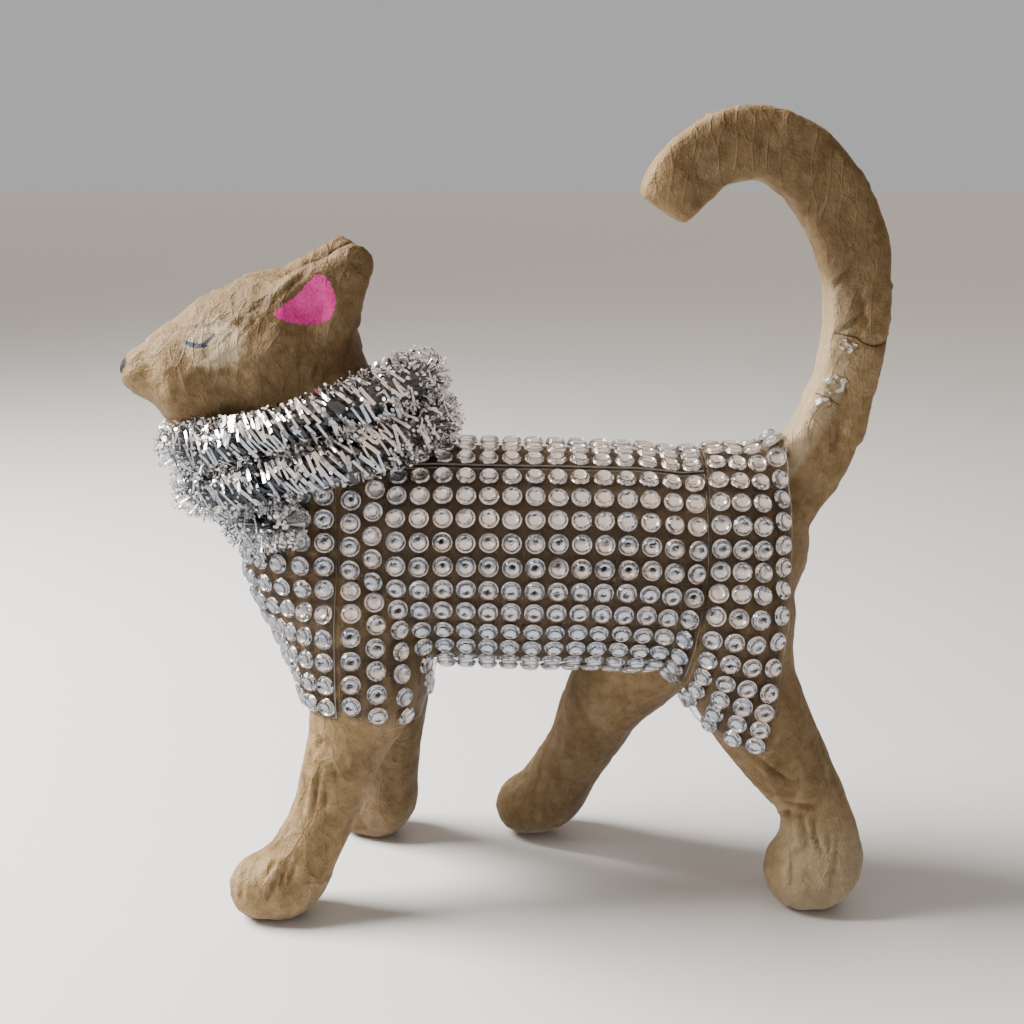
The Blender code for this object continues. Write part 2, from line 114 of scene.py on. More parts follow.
class Wiring:
    """Adds and joins nodes in one shader tree, so that a material reads as a list of steps."""

    def __init__(self, tree: bpy.types.NodeTree) -> None:
        """Wrap a node tree.

        Args:
            tree: The material's or the group's node tree.
        """
        self.tree = tree

    def node(self, kind: str, **settings: object) -> bpy.types.Node:
        """Add a node.

        Args:
            kind: The node's type name, without its ShaderNode prefix.
            settings: Attributes to set on it.

        Returns:
            The new node.
        """
        made = self.tree.nodes.new("ShaderNode" + kind)
        for name, value in settings.items():
            setattr(made, name, value)
        return made

    def feed(self, socket: bpy.types.NodeSocket, value: object) -> None:
        """Link a socket to another, or set its plain value.

        Args:
            socket: The input socket.
            value: An output socket, or a plain value.
        """
        if isinstance(value, bpy.types.NodeSocket):
            self.tree.links.new(value, socket)
        else:
            socket.default_value = value

    def math(self, operation: str, *values: object, clamp: bool = False) -> bpy.types.NodeSocket:
        """Join a Math node.

        Args:
            operation: Its operation.
            values: One to three sockets or numbers.
            clamp: Whether the result is held between nought and one.

        Returns:
            The node's output.
        """
        made = self.node("Math", operation=operation, use_clamp=clamp)
        for socket, value in zip(made.inputs, values):
            self.feed(socket, value)
        return made.outputs[0]

    def step(self, value: object, low: object, high: object) -> bpy.types.NodeSocket:
        """Join a smooth step from nought at low to one at high.

        Args:
            value: What is measured.
            low: Where the step starts.
            high: Where it ends.

        Returns:
            The node's output.
        """
        made = self.node("MapRange", interpolation_type="SMOOTHSTEP")
        for name, given in (("Value", value), ("From Min", low), ("From Max", high)):
            self.feed(made.inputs[name], given)
        return made.outputs["Result"]

    def mix(self, share: object, first: object, second: object,
            blend: str = "MIX") -> bpy.types.NodeSocket:
        """Blend two colours.

        Args:
            share: How much of the second shows.
            first: The colour below.
            second: The colour above.
            blend: The Mix node's blend type.

        Returns:
            The blended colour.
        """
        made = self.node("Mix", data_type="RGBA", blend_type=blend)
        self.feed(made.inputs[0], share)
        self.feed(made.inputs[6], first)
        self.feed(made.inputs[7], second)
        return made.outputs[2]

    def attribute(self, name: str) -> bpy.types.NodeSocket:
        """A mask that was stored on the mesh's points."""
        return self.node("Attribute", attribute_name=name).outputs["Fac"]

    def position(self) -> bpy.types.NodeSocket:
        """Where the surface is, in the piece's own frame."""
        return self.node("TexCoord").outputs["Object"]

    def bump(self, height: object, distance: float, strength: float = 1.0,
             below: object = None) -> bpy.types.NodeSocket:
        """Turn a height into a normal, on top of another normal if there is one.

        Args:
            height: The height's socket.
            distance: How far a height of one stands out.
            strength: How much of the bump shows.
            below: The normal that it lies on.

        Returns:
            The bumped normal.
        """
        made = self.node("Bump")
        made.inputs["Strength"].default_value = strength
        made.inputs["Distance"].default_value = distance
        self.feed(made.inputs["Height"], height)
        if below is not None:
            self.feed(made.inputs["Normal"], below)
        return made.outputs["Normal"]

    def place(self, group: bpy.types.NodeTree, **values: object) -> bpy.types.Node:
        """Place a shared group.

        Args:
            group: The group to place.
            values: Its inputs by name, with _ for a space.

        Returns:
            The group node.
        """
        made = self.node("Group")
        made.node_tree = group
        for name, value in values.items():
            self.feed(made.inputs[name.replace("_", " ")], value)
        return made


def new_group(name: str, inputs: dict[str, str], outputs: dict[str, str]
              ) -> tuple[Wiring, bpy.types.Node, bpy.types.Node]:
    """Start a shared node group with named sockets.

    Args:
        name: The group's name.
        inputs: Socket types by input name.
        outputs: Socket types by output name.

    Returns:
        The group's wiring, its input node and its output node.
    """
    tree = bpy.data.node_groups.new(name, "ShaderNodeTree")
    for label, kind in inputs.items():
        tree.interface.new_socket(label, in_out="INPUT", socket_type="NodeSocket" + kind)
    for label, kind in outputs.items():
        tree.interface.new_socket(label, in_out="OUTPUT", socket_type="NodeSocket" + kind)
    wiring = Wiring(tree)
    return wiring, tree.nodes.new("NodeGroupInput"), tree.nodes.new("NodeGroupOutput")


@dataclass
class Effects:
    """Masks and heights that more than one finish uses, each built once as a node group."""

    mottle: bpy.types.NodeTree = field(init=False)
    crumple: bpy.types.NodeTree = field(init=False)
    line: bpy.types.NodeTree = field(init=False)
    spot: bpy.types.NodeTree = field(init=False)

    def __post_init__(self) -> None:
        """Build the four groups."""
        self.mottle = self.build_mottle()
        self.crumple = self.build_crumple()
        self.line = self.build_line()
        self.spot = self.build_spot()

    @staticmethod
    def build_mottle() -> bpy.types.NodeTree:
        """Cloudy patches with a fine grain over them.

        Returns:
            A group with Patches, Grain and Height.
        """
        w, given, out = new_group(
            "mottle", {"Vector": "Vector", "Patch Size": "Float", "Grain Size": "Float",
                       "Contrast": "Float"},
            {"Patches": "Float", "Grain": "Float", "Height": "Float"})
        sizes = {}
        for label, detail in (("Patch Size", 3.0), ("Grain Size", 2.0)):
            clouds = w.node("TexNoise")
            clouds.inputs["Detail"].default_value = detail
            w.feed(clouds.inputs["Vector"], given.outputs["Vector"])
            w.feed(clouds.inputs["Scale"], w.math("DIVIDE", 1.0, given.outputs[label]))
            sizes[label] = clouds.outputs["Fac"]
        spread = w.math("DIVIDE", 0.25, given.outputs["Contrast"])
        low = w.math("SUBTRACT", 0.5, spread)
        high = w.math("ADD", 0.5, spread)
        w.feed(out.inputs["Patches"], w.step(sizes["Patch Size"], low, high))
        w.feed(out.inputs["Grain"], w.step(sizes["Grain Size"], low, high))
        w.feed(out.inputs["Height"],
               w.math("MULTIPLY_ADD", sizes["Patch Size"], 0.6, sizes["Grain Size"]))
        return w.tree

    @staticmethod
    def build_crumple() -> bpy.types.NodeTree:
        """Creases of crushed paper or foil: flat facets between sharp bent folds.

        Returns:
            A group with Height and Crease.
        """
        w, given, out = new_group("crumple", {"Vector": "Vector", "Fold Size": "Float"},
                                  {"Height": "Float", "Crease": "Float"})
        warp = w.node("TexNoise")
        warp.inputs["Detail"].default_value = 1.0
        w.feed(warp.inputs["Vector"], given.outputs["Vector"])
        w.feed(warp.inputs["Scale"], w.math("DIVIDE", 0.7, given.outputs["Fold Size"]))
        bent = w.node("VectorMath", operation="MULTIPLY_ADD")
        w.feed(bent.inputs[0], warp.outputs["Color"])
        reach = w.node("CombineXYZ")
        for axis in "XYZ":
            w.feed(reach.inputs[axis], given.outputs["Fold Size"])
        w.feed(bent.inputs[1], reach.outputs[0])
        w.feed(bent.inputs[2], given.outputs["Vector"])
        folds = w.node("TexVoronoi", feature="DISTANCE_TO_EDGE")
        w.feed(folds.inputs["Vector"], bent.outputs[0])
        w.feed(folds.inputs["Scale"], w.math("DIVIDE", 1.0, given.outputs["Fold Size"]))
        facets = w.node("TexVoronoi", feature="F1")
        w.feed(facets.inputs["Vector"], bent.outputs[0])
        w.feed(facets.inputs["Scale"], w.math("DIVIDE", 1.0, given.outputs["Fold Size"]))
        w.feed(out.inputs["Crease"],
               w.math("SUBTRACT", 1.0, w.step(folds.outputs["Distance"], 0.0, 0.09)))
        w.feed(out.inputs["Height"], facets.outputs["Distance"])
        return w.tree

    @staticmethod
    def build_line() -> bpy.types.NodeTree:
        """A brushed or torn line on the side of the cat: a bow from Start X to End X.

        Returns:
            A group with Mask.
        """
        w, given, out = new_group(
            "drawn_line", {"Vector": "Vector", "Start X": "Float", "End X": "Float",
                           "Start Z": "Float", "Rise": "Float", "Bow": "Float",
                           "Width": "Float", "Side Y": "Float"},
            {"Mask": "Float"})
        axes = w.node("SeparateXYZ")
        w.feed(axes.inputs[0], given.outputs["Vector"])
        length = w.math("SUBTRACT", given.outputs["End X"], given.outputs["Start X"])
        along = w.math("DIVIDE", w.math("SUBTRACT", axes.outputs["X"], given.outputs["Start X"]),
                       length)
        held = w.math("MAXIMUM", w.math("MINIMUM", along, 1.0), 0.0)
        beyond = w.math("MULTIPLY", w.math("SUBTRACT", along, held), length)
        hump = w.math("MULTIPLY", w.math("MULTIPLY", held, w.math("SUBTRACT", 1.0, held)), 4.0)
        height = w.math("MULTIPLY_ADD", given.outputs["Rise"], held, given.outputs["Start Z"])
        height = w.math("MULTIPLY_ADD", given.outputs["Bow"], hump, height)
        off = w.math("SUBTRACT", axes.outputs["Z"], height)
        distance = w.math("SQRT", w.math("MULTIPLY_ADD", off, off,
                                         w.math("MULTIPLY", beyond, beyond)))
        rough = w.node("TexNoise")
        rough.inputs["Scale"].default_value = 2500.0
        w.feed(rough.inputs["Vector"], given.outputs["Vector"])
        wobble = w.math("MULTIPLY", w.math("SUBTRACT", rough.outputs["Fac"], 0.5),
                        w.math("MULTIPLY", given.outputs["Width"], 0.5))
        distance = w.math("ADD", distance, wobble)
        half = w.math("MULTIPLY", given.outputs["Width"], 0.5)
        inner = w.math("MULTIPLY", half, 0.55)
        mark = w.math("SUBTRACT", 1.0, w.step(distance, inner, half))
        near = w.math("GREATER_THAN", given.outputs["Side Y"], axes.outputs["Y"])
        w.feed(out.inputs["Mask"], w.math("MULTIPLY", mark, near))
        return w.tree

    @staticmethod
    def build_spot() -> bpy.types.NodeTree:
        """A soft round patch about a centre, broken up by a noise.

        Returns:
            A group with Mask.
        """
        w, given, out = new_group(
            "soft_spot", {"Vector": "Vector", "Centre": "Vector", "Radii": "Vector",
                          "Ragged": "Float"}, {"Mask": "Float"})
        offset = w.node("VectorMath", operation="SUBTRACT")
        w.feed(offset.inputs[0], given.outputs["Vector"])
        w.feed(offset.inputs[1], given.outputs["Centre"])
        scaled = w.node("VectorMath", operation="DIVIDE")
        w.feed(scaled.inputs[0], offset.outputs[0])
        w.feed(scaled.inputs[1], given.outputs["Radii"])
        distance = w.node("VectorMath", operation="LENGTH")
        w.feed(distance.inputs[0], scaled.outputs[0])
        rough = w.node("TexNoise")
        rough.inputs["Scale"].default_value = 600.0
        rough.inputs["Detail"].default_value = 4.0
        w.feed(rough.inputs["Vector"], given.outputs["Vector"])
        shift = w.math("MULTIPLY", w.math("SUBTRACT", rough.outputs["Fac"], 0.5),
                       given.outputs["Ragged"])
        ragged = w.math("ADD", distance.outputs["Value"], shift)
        w.feed(out.inputs["Mask"], w.math("SUBTRACT", 1.0, w.step(ragged, 0.7, 1.05)))
        return w.tree


@dataclass(frozen=True)
class Finish:
    """What every finish has: a name and its plain shader values."""

    name: str
    colour: Colour
    roughness: float
    metallic: float = 0.0
    specular: float = 0.5
    coat: float = 0.0

    def start(self) -> tuple[bpy.types.Material, Wiring, bpy.types.Node]:
        """Make the material with its plain values.

        Returns:
            The material, its wiring and its Principled shader.
        """
        made = bpy.data.materials.new(self.name)
        made.use_nodes = True
        shader = made.node_tree.nodes["Principled BSDF"]
        shader.inputs["Base Color"].default_value = self.colour
        shader.inputs["Roughness"].default_value = self.roughness
        shader.inputs["Metallic"].default_value = self.metallic
        shader.inputs["Specular IOR Level"].default_value = self.specular
        shader.inputs["Coat Weight"].default_value = self.coat
        return made, Wiring(made.node_tree), shader


@dataclass(frozen=True)
class Mark:
    """A drawn line on the cat: where it runs in the side view, and how wide it is."""

    start_x: float
    end_x: float
    start_z: float
    rise: float
    bow: float
    width: float

    def mask(self, w: Wiring, effects: Effects, vector: object,
             side_y: float) -> bpy.types.NodeSocket:
        """Place the line in a material.

        Args:
            w: The material's wiring.
            effects: The shared groups.
            vector: The coordinates that the line is drawn in.
            side_y: The line shows where Y is below this.

        Returns:
            The line's mask.
        """
        placed = w.place(effects.line, Vector=vector, Start_X=self.start_x, End_X=self.end_x,
                         Start_Z=self.start_z, Rise=self.rise, Bow=self.bow, Width=self.width,
                         Side_Y=side_y)
        return placed.outputs["Mask"]


@dataclass(frozen=True)
class Head:
    """The turn of the head, and the marks painted on it in the head's own frame."""

    pivot: tuple[float, float, float] = (-46.5 * MM, 0.0, 118 * MM)
    place: tuple[float, float, float] = (-45.45 * MM, -1.1 * MM, 118 * MM)
    turn: float = math.radians(12)
    eye: Mark = Mark(-66.8 * MM, -61.3 * MM, 121.6 * MM, 1.4 * MM, -1.35 * MM, 1.15 * MM)
    eye_blob: Mark = Mark(-66.3 * MM, -63.0 * MM, 121.3 * MM, -0.3 * MM, -0.1 * MM, 1.0 * MM)
    ear_outline: tuple[tuple[float, float], ...] = (
        (-49.8, 127.0), (-47.5, 129.0), (-45.4, 130.2), (-43.6, 132.0), (-42.2, 133.8),
        (-40.9, 134.7), (-39.3, 134.5), (-38.2, 132.6), (-37.3, 130.3), (-37.7, 128.0),
        (-38.5, 125.8), (-40.7, 124.9), (-43.9, 124.9), (-46.3, 125.2), (-48.4, 126.2))

    def to_head(self, points: Array) -> Array:
        """Turn points of the figure into the frame of the head looking straight ahead.

        Args:
            points: Points as rows.

        Returns:
            The turned points.
        """
        c, s = math.cos(self.turn), math.sin(self.turn)
        spin = np.array([[c, s, 0], [-s, c, 0], [0, 0, 1]])
        return (points - np.array(self.place)) @ spin.T + np.array(self.pivot)

    def coordinates(self, w: Wiring) -> bpy.types.NodeSocket:
        """The head's frame in a shader, with both sides folded onto the left.

        Args:
            w: The material's wiring.

        Returns:
            Coordinates whose Y is below nought on both sides.
        """
        spin = Matrix.Rotation(-self.turn, 3, "Z")
        turned = w.node("Mapping")
        w.feed(turned.inputs["Vector"], w.position())
        turned.inputs["Rotation"].default_value = (0, 0, -self.turn)
        turned.inputs["Location"].default_value = Vector(self.pivot) - spin @ Vector(self.place)
        axes = w.node("SeparateXYZ")
        w.feed(axes.inputs[0], turned.outputs[0])
        folded = w.node("CombineXYZ")
        w.feed(folded.inputs["X"], axes.outputs["X"])
        w.feed(folded.inputs["Y"],
               w.math("MULTIPLY", w.math("ABSOLUTE", axes.outputs["Y"]), -1.0))
        w.feed(folded.inputs["Z"], axes.outputs["Z"])
        return folded.outputs[0]


@dataclass(frozen=True)
class KraftPaper(Finish):
    """Brown kraft paper pasted in layers, with paint on the ears, eyes and nose, and with painted
    shade and painted highlights in its colour.
    """

    pale: Colour = (0.37, 0.252, 0.122, 1.0)
    brown: Colour = (0.175, 0.105, 0.041, 1.0)
    shadow: Colour = (0.060, 0.031, 0.011, 1.0)
    # Painted shade: the darker brown of the paper under the stone film.
    shade_under_film: Colour = (0.060, 0.038, 0.024, 1.0)
    # Pale paint for the patch round the eye, also used as painted light on ridges and lit facets.
    chalk_and_light: Colour = (0.66, 0.55, 0.38, 1.0)
    # Painted highlight: near-white glints on the glossy glue patches.
    glue_glint: Colour = (0.88, 0.86, 0.82, 1.0)
    pink: Colour = (0.78, 0.028, 0.30, 1.0)
    pale_pink: Colour = (0.86, 0.07, 0.40, 1.0)
    ink: Colour = (0.045, 0.055, 0.075, 1.0)
    nose: Colour = (0.012, 0.012, 0.014, 1.0)
    cracks: tuple[Mark, ...] = (
        Mark(71.0 * MM, 78.6 * MM, 121.4 * MM, 0.2 * MM, -1.7 * MM, 0.42 * MM),
        Mark(66.5 * MM, 71.2 * MM, 122.4 * MM, -0.9 * MM, 0.0, 0.24 * MM),
        Mark(63.5 * MM, 68.0 * MM, 109.9 * MM, -2.2 * MM, 0.3 * MM, 0.26 * MM))
    glue: tuple[tuple[float, float, float, float], ...] = (
        (69.0, 119.8, 2.2, 1.5), (67.2, 111.9, 2.6, 2.4), (65.0, 108.2, 1.8, 1.3))

    def make(self, effects: Effects, head: Head) -> bpy.types.Material:
        """Build the paper's material.

        Args:
            effects: The shared groups.
            head: The head, for what is painted on it.

        Returns:
            The material.
        """
        made, w, shader = self.start()
        place = w.position()
        mottle = w.place(effects.mottle, Vector=place, Patch_Size=9 * MM, Grain_Size=0.9 * MM,
                         Contrast=0.75)
        pulp = w.place(effects.mottle, Vector=place, Patch_Size=2.2 * MM, Grain_Size=0.4 * MM,
                       Contrast=0.8)
        fine = w.place(effects.crumple, Vector=place, Fold_Size=1.5 * MM)
        stretched = w.node("Mapping")
        w.feed(stretched.inputs["Vector"], place)
        stretched.inputs["Scale"].default_value = (1.0, 1.0, 0.45)
        long = w.place(effects.crumple, Vector=stretched.outputs[0], Fold_Size=3.4 * MM)
        tone = w.math("MULTIPLY_ADD", mottle.outputs["Patches"], 0.4,
                      w.math("MULTIPLY", pulp.outputs["Patches"], 0.6))
        colour = w.mix(tone, self.brown, self.pale)
        colour = w.mix(w.math("MULTIPLY", pulp.outputs["Grain"], 0.16), colour, self.shadow)
        # Painted shade in the hollows of the crumpled paper.
        colour = w.mix(w.math("MULTIPLY", w.attribute("hollow"), 0.6), colour, self.shadow)
        # Painted highlight on the ridges of the crumpled paper.
        colour = w.mix(w.math("MULTIPLY", w.attribute("ridge"), 0.3), colour, self.chalk_and_light)
        # Darker paper on the head, and painted shade on the far legs, the tail's curl and the hind
        # thigh.
        colour = w.mix(w.math("MULTIPLY", w.attribute("tanned"), 0.5), colour, self.shadow)
        # Painted light on the tail's left-facing facet and on the hind ankle.
        colour = w.mix(w.attribute("bleached"), colour, self.chalk_and_light)
        # Painted shade: the paper under the stone film is darker.
        covered = w.attribute("covered")
        under = w.mix(w.math("MULTIPLY", pulp.outputs["Patches"], 0.3), self.shade_under_film, self.brown)
        colour = w.mix(w.math("MULTIPLY", covered, 0.9), colour, under)
        colour, stroke_shine = self.face(w, effects, head, colour, mottle, pulp, fine)
        torn = None
        for crack in self.cracks:
            mask = crack.mask(w, effects, place, 2 * MM)
            torn = mask if torn is None else w.math("MAXIMUM", torn, mask)
        colour = w.mix(w.math("MULTIPLY", torn, 0.9), colour, self.shadow)
        glue = self.glued(w, effects, place)
        # Painted highlights: near-white glints within the glue patches.
        painted_glints = w.step(w.math("MULTIPLY", glue, pulp.outputs["Patches"]), 0.42, 0.56)
        colour = w.mix(w.math("MULTIPLY", painted_glints, 0.85), colour, self.glue_glint)
        w.feed(shader.inputs["Base Color"], colour)
        shine = w.math("MAXIMUM", w.math("MAXIMUM", glue, w.math("MULTIPLY", covered, 0.15)),
                       stroke_shine)
        rough = w.math("MULTIPLY_ADD", mottle.outputs["Grain"], 0.16, self.roughness - 0.08)
        rough = w.math("SUBTRACT", rough, w.math("MULTIPLY", shine, 0.36))
        w.feed(shader.inputs["Roughness"], rough)
        w.feed(shader.inputs["Coat Weight"], w.math("MULTIPLY", glue, 0.9))
        shader.inputs["Coat Roughness"].default_value = 0.10
        relief = w.math("MULTIPLY_ADD", fine.outputs["Height"], 0.42,
                        w.math("MULTIPLY", pulp.outputs["Height"], 0.50))
        relief = w.math("MULTIPLY_ADD", long.outputs["Crease"], 0.16, relief)
        relief = w.math("MULTIPLY_ADD", long.outputs["Height"], 0.5, relief)
        relief = w.math("MULTIPLY_ADD", torn, -0.9, relief)
        # Stronger relief within the glue patches, so that their gloss catches the lamp.
        glue_glint = w.math("MULTIPLY", glue, fine.outputs["Height"])
        relief = w.math("MULTIPLY_ADD", glue_glint, 1.5, relief)
        w.feed(shader.inputs["Normal"], w.bump(relief, 0.55 * MM, 1.0))
        return made

    def face(self, w: Wiring, effects: Effects, head: Head, colour: object,
             mottle: bpy.types.Node, pulp: bpy.types.Node, fine: bpy.types.Node
             ) -> tuple[bpy.types.NodeSocket, bpy.types.NodeSocket]:
        """Paint the ears, the closed eyes and the nose over the paper, with painted shade along the
        folds of the ear paint.

        Args:
            w: The material's wiring.
            effects: The shared groups.
            head: The head's frame and marks.
            colour: The paper's colour.
            mottle: The placed broad patches.
            pulp: The placed fine patches.
            fine: The placed fine crumple.

        Returns:
            The painted colour, and how much the paint shines.
        """
        face = head.coordinates(w)
        patch = w.place(effects.spot, Vector=face, Centre=(-61.5 * MM, -13 * MM, 121.5 * MM),
                        Radii=(7.0 * MM, 9 * MM, 5.5 * MM), Ragged=1.0)
        colour = w.mix(w.math("MULTIPLY", patch.outputs["Mask"], 0.42), colour, self.chalk_and_light)
        edge = w.math("MULTIPLY", w.math("SUBTRACT", mottle.outputs["Grain"], 0.5), 0.5 * MM)
        ear = w.step(w.math("ADD", w.attribute("ear_paint"), edge), -0.1 * MM, 0.12 * MM)
        paint = w.mix(pulp.outputs["Patches"], self.pink, self.pale_pink)
        # Painted shade along the folds of the ear paint.
        paint = w.mix(w.math("MULTIPLY", fine.outputs["Crease"], 0.30), paint,
                      (0.35, 0.02, 0.14, 1.0))
        colour = w.mix(w.math("MULTIPLY", ear, 0.97), colour, paint)
        eye = head.eye.mask(w, effects, face, -6 * MM)
        blob = head.eye_blob.mask(w, effects, face, -6 * MM)
        stroke = w.math("MAXIMUM", w.math("MULTIPLY", eye, 0.95), blob)
        colour = w.mix(stroke, colour, self.ink)
        nose = w.place(effects.spot, Vector=face, Centre=(-79.6 * MM, 0.0, 116.4 * MM),
                       Radii=(2.6 * MM, 3.2 * MM, 2.2 * MM), Ragged=0.35)
        colour = w.mix(nose.outputs["Mask"], colour, self.nose)
        return colour, w.math("MULTIPLY", ear, 0.35)

    def glued(self, w: Wiring, effects: Effects, place: object) -> bpy.types.NodeSocket:
        """Patches where glue set glossy on the tail.

        Args:
            w: The material's wiring.
            effects: The shared groups.
            place: Where the surface is.

        Returns:
            Their mask.
        """
        mask = None
        for x, z, wide, high in self.glue:
            spot = w.place(effects.spot, Vector=place, Centre=(x * MM, -6.5 * MM, z * MM),
                           Radii=(wide * MM, 4 * MM, high * MM), Ragged=1.4).outputs["Mask"]
            mask = spot if mask is None else w.math("MAXIMUM", mask, spot)
        return mask


@dataclass(frozen=True)
class ClearFilm(Finish):
    """The thin film between the stones, seen through, with a painted highlight on its cut edges."""

    opacity: float = 0.07
    # Painted highlight on the film's cut edges: their extra opacity and pale colour.
    rim_opacity: float = 0.55
    rim: Colour = (0.70, 0.69, 0.66, 1.0)

    def make(self, effects: Effects) -> bpy.types.Material:
        """Build the film's material.

        Args:
            effects: The shared groups.

        Returns:
            The material.
        """
        made, w, shader = self.start()
        haze = w.place(effects.mottle, Vector=w.position(), Patch_Size=6 * MM,
                       Grain_Size=0.6 * MM, Contrast=0.8)
        # Painted highlight: the cut edges are pale and more opaque than the film.
        rim = w.attribute("rim")
        clear = w.math("MULTIPLY_ADD", haze.outputs["Patches"], 0.06, self.opacity)
        w.feed(shader.inputs["Alpha"],
               w.math("MULTIPLY_ADD", rim, self.rim_opacity, clear))
        w.feed(shader.inputs["Base Color"], w.mix(rim, self.colour, self.rim))
        w.feed(shader.inputs["Roughness"],
               w.math("MULTIPLY_ADD", haze.outputs["Grain"], 0.12, self.roughness))
        w.feed(shader.inputs["Normal"], w.bump(haze.outputs["Height"], 0.12 * MM, 0.5))
        return made


@dataclass(frozen=True)
class CutStone(Finish):
    """The clear faceted body of a rhinestone."""

    ior: float = 1.5

    def make(self, effects: Effects) -> bpy.types.Material:
        """Build the clear stone's material.

        Args:
            effects: The shared groups.

        Returns:
            The material.
        """
        made, w, shader = self.start()
        shader.inputs["Transmission Weight"].default_value = 1.0
        shader.inputs["IOR"].default_value = self.ior
        wear = w.place(effects.mottle, Vector=w.position(), Patch_Size=1.6 * MM,
                       Grain_Size=0.25 * MM, Contrast=0.8)
        w.feed(shader.inputs["Roughness"],
               w.math("MULTIPLY_ADD", wear.outputs["Patches"], 0.05, self.roughness))
        w.feed(shader.inputs["Normal"], w.bump(wear.outputs["Height"], 0.05 * MM, 0.2))
        return made


@dataclass(frozen=True)
class Silvering(Finish):
    """Bright metal that varies a little from piece to piece: foil backs and tinsel strips, with a
    painted ring of shade in each stone's foil and painted highlights on the tinsel's tips.
    """

    warm: Colour = (0.86, 0.80, 0.74, 1.0)
    cool: Colour = (0.72, 0.76, 0.82, 1.0)
    dark: Colour = (0.10, 0.105, 0.115, 1.0)
    bright: Colour = (0.93, 0.94, 0.96, 1.0)
    dark_share: float = 0.0
    crush: float = 1.6 * MM

    def make(self, effects: Effects) -> bpy.types.Material:
        """Build the foil's material.

        Args:
            effects: The shared groups.

        Returns:
            The material.
        """
        made, w, shader = self.start()
        place = w.position()
        patches = w.place(effects.mottle, Vector=place, Patch_Size=4.5 * MM,
                          Grain_Size=0.5 * MM, Contrast=1.2)
        crush = w.place(effects.crumple, Vector=place, Fold_Size=self.crush)
        tint = w.mix(w.attribute("tone"), self.cool, self.warm)
        colour = w.mix(0.5, tint, self.colour)
        # Dark where the dim mask is high: on the stone foils a painted ring of shade round each
        # stone, on the tinsel a share of the strips and the core.
        dim = w.step(w.attribute("dim"), 1.0 - self.dark_share, 1.02 - self.dark_share)
        colour = w.mix(dim, colour, self.dark)
        # Painted highlight: the tips are near white and mostly not metallic, so they show bright
        # under any light.
        tip = w.attribute("tip")
        w.feed(shader.inputs["Base Color"], w.mix(tip, colour, self.bright))
        w.feed(shader.inputs["Metallic"], w.math("MULTIPLY_ADD", tip, -0.7, self.metallic))
        w.feed(shader.inputs["Roughness"],
               w.math("MULTIPLY_ADD", patches.outputs["Patches"], 0.12, self.roughness))
        w.feed(shader.inputs["Normal"], w.bump(crush.outputs["Height"], 0.10 * MM, 0.5))
        return made


@dataclass(frozen=True)
class PaleFloor(Finish):
    """The plain pale table top."""

    def make(self, effects: Effects) -> bpy.types.Material:
        """Build the floor's material.

        Args:
            effects: The shared groups.

        Returns:
            The material.
        """
        made, w, shader = self.start()
        clouds = w.place(effects.mottle, Vector=w.position(), Patch_Size=0.12,
                         Grain_Size=0.004, Contrast=0.6)
        w.feed(shader.inputs["Base Color"],
               w.mix(w.math("MULTIPLY", clouds.outputs["Patches"], 0.08), self.colour, grey(0.6)))
        return made


# Meshes


def mesh_object(name: str, points: Array, faces: list[tuple[int, ...]],
                smooth: bool = False) -> bpy.types.Object:
    """Make a mesh object in the scene.

    Args:
        name: Its name.
        points: Its points as rows.
        faces: Its faces as tuples of point numbers.
        smooth: Whether it is shaded smooth.

    Returns:
        The object.
    """
    mesh = bpy.data.meshes.new(name)
    mesh.from_pydata(points.tolist(), [], faces)
    mesh.polygons.foreach_set("use_smooth", [smooth] * len(mesh.polygons))
    mesh.update()
    made = bpy.data.objects.new(name, mesh)
    bpy.context.scene.collection.objects.link(made)
    return made


def applied(obj: bpy.types.Object) -> bpy.types.Object:
    """Bake an object's modifiers into its own mesh.

    Args:
        obj: The object.

    Returns:
        The same object with a plain mesh.
    """
    graph = bpy.context.evaluated_depsgraph_get()
    graph.update()
    mesh = bpy.data.meshes.new_from_object(obj.evaluated_get(graph))
    old = obj.data
    obj.modifiers.clear()
    obj.data = mesh
    if old.users == 0:
        bpy.data.meshes.remove(old)
    return obj


def read(values: bpy.types.bpy_prop_collection, name: str, width: int = 3) -> Array:
    """Read a value of every point or face as an array.

    Args:
        values: The mesh's points or faces.
        name: The value's name.
        width: How many numbers it has.

    Returns:
        Its numbers, as rows where there are several.
    """
    flat = np.empty(len(values) * width)
    values.foreach_get(name, flat)
    return flat.reshape(-1, width) if width > 1 else flat


def store(mesh: bpy.types.Mesh, name: str, values: Array, domain: str = "POINT") -> None:
    """Store a mask on a mesh for its material to read."""
    layer = mesh.attributes.new(name, "FLOAT", domain)
    layer.data.foreach_set("value", np.ascontiguousarray(values, dtype=np.float32))


def welded(node: bpy.types.Object) -> bmesh.types.BMesh:
    """Copy a CAD node with its points joined.

    Args:
        node: The node.

    Returns:
        An editable mesh.
    """
    solid = bmesh.new()
    solid.from_mesh(node.data)
    bmesh.ops.remove_doubles(solid, verts=solid.verts, dist=1e-6)
    return solid


def smooth_step(values: Array, low: float, high: float) -> Array:
    """A smooth step from nought at low to one at high."""
    share = np.clip((values - low) / (high - low), 0, 1)
    return share * share * (3 - 2 * share)


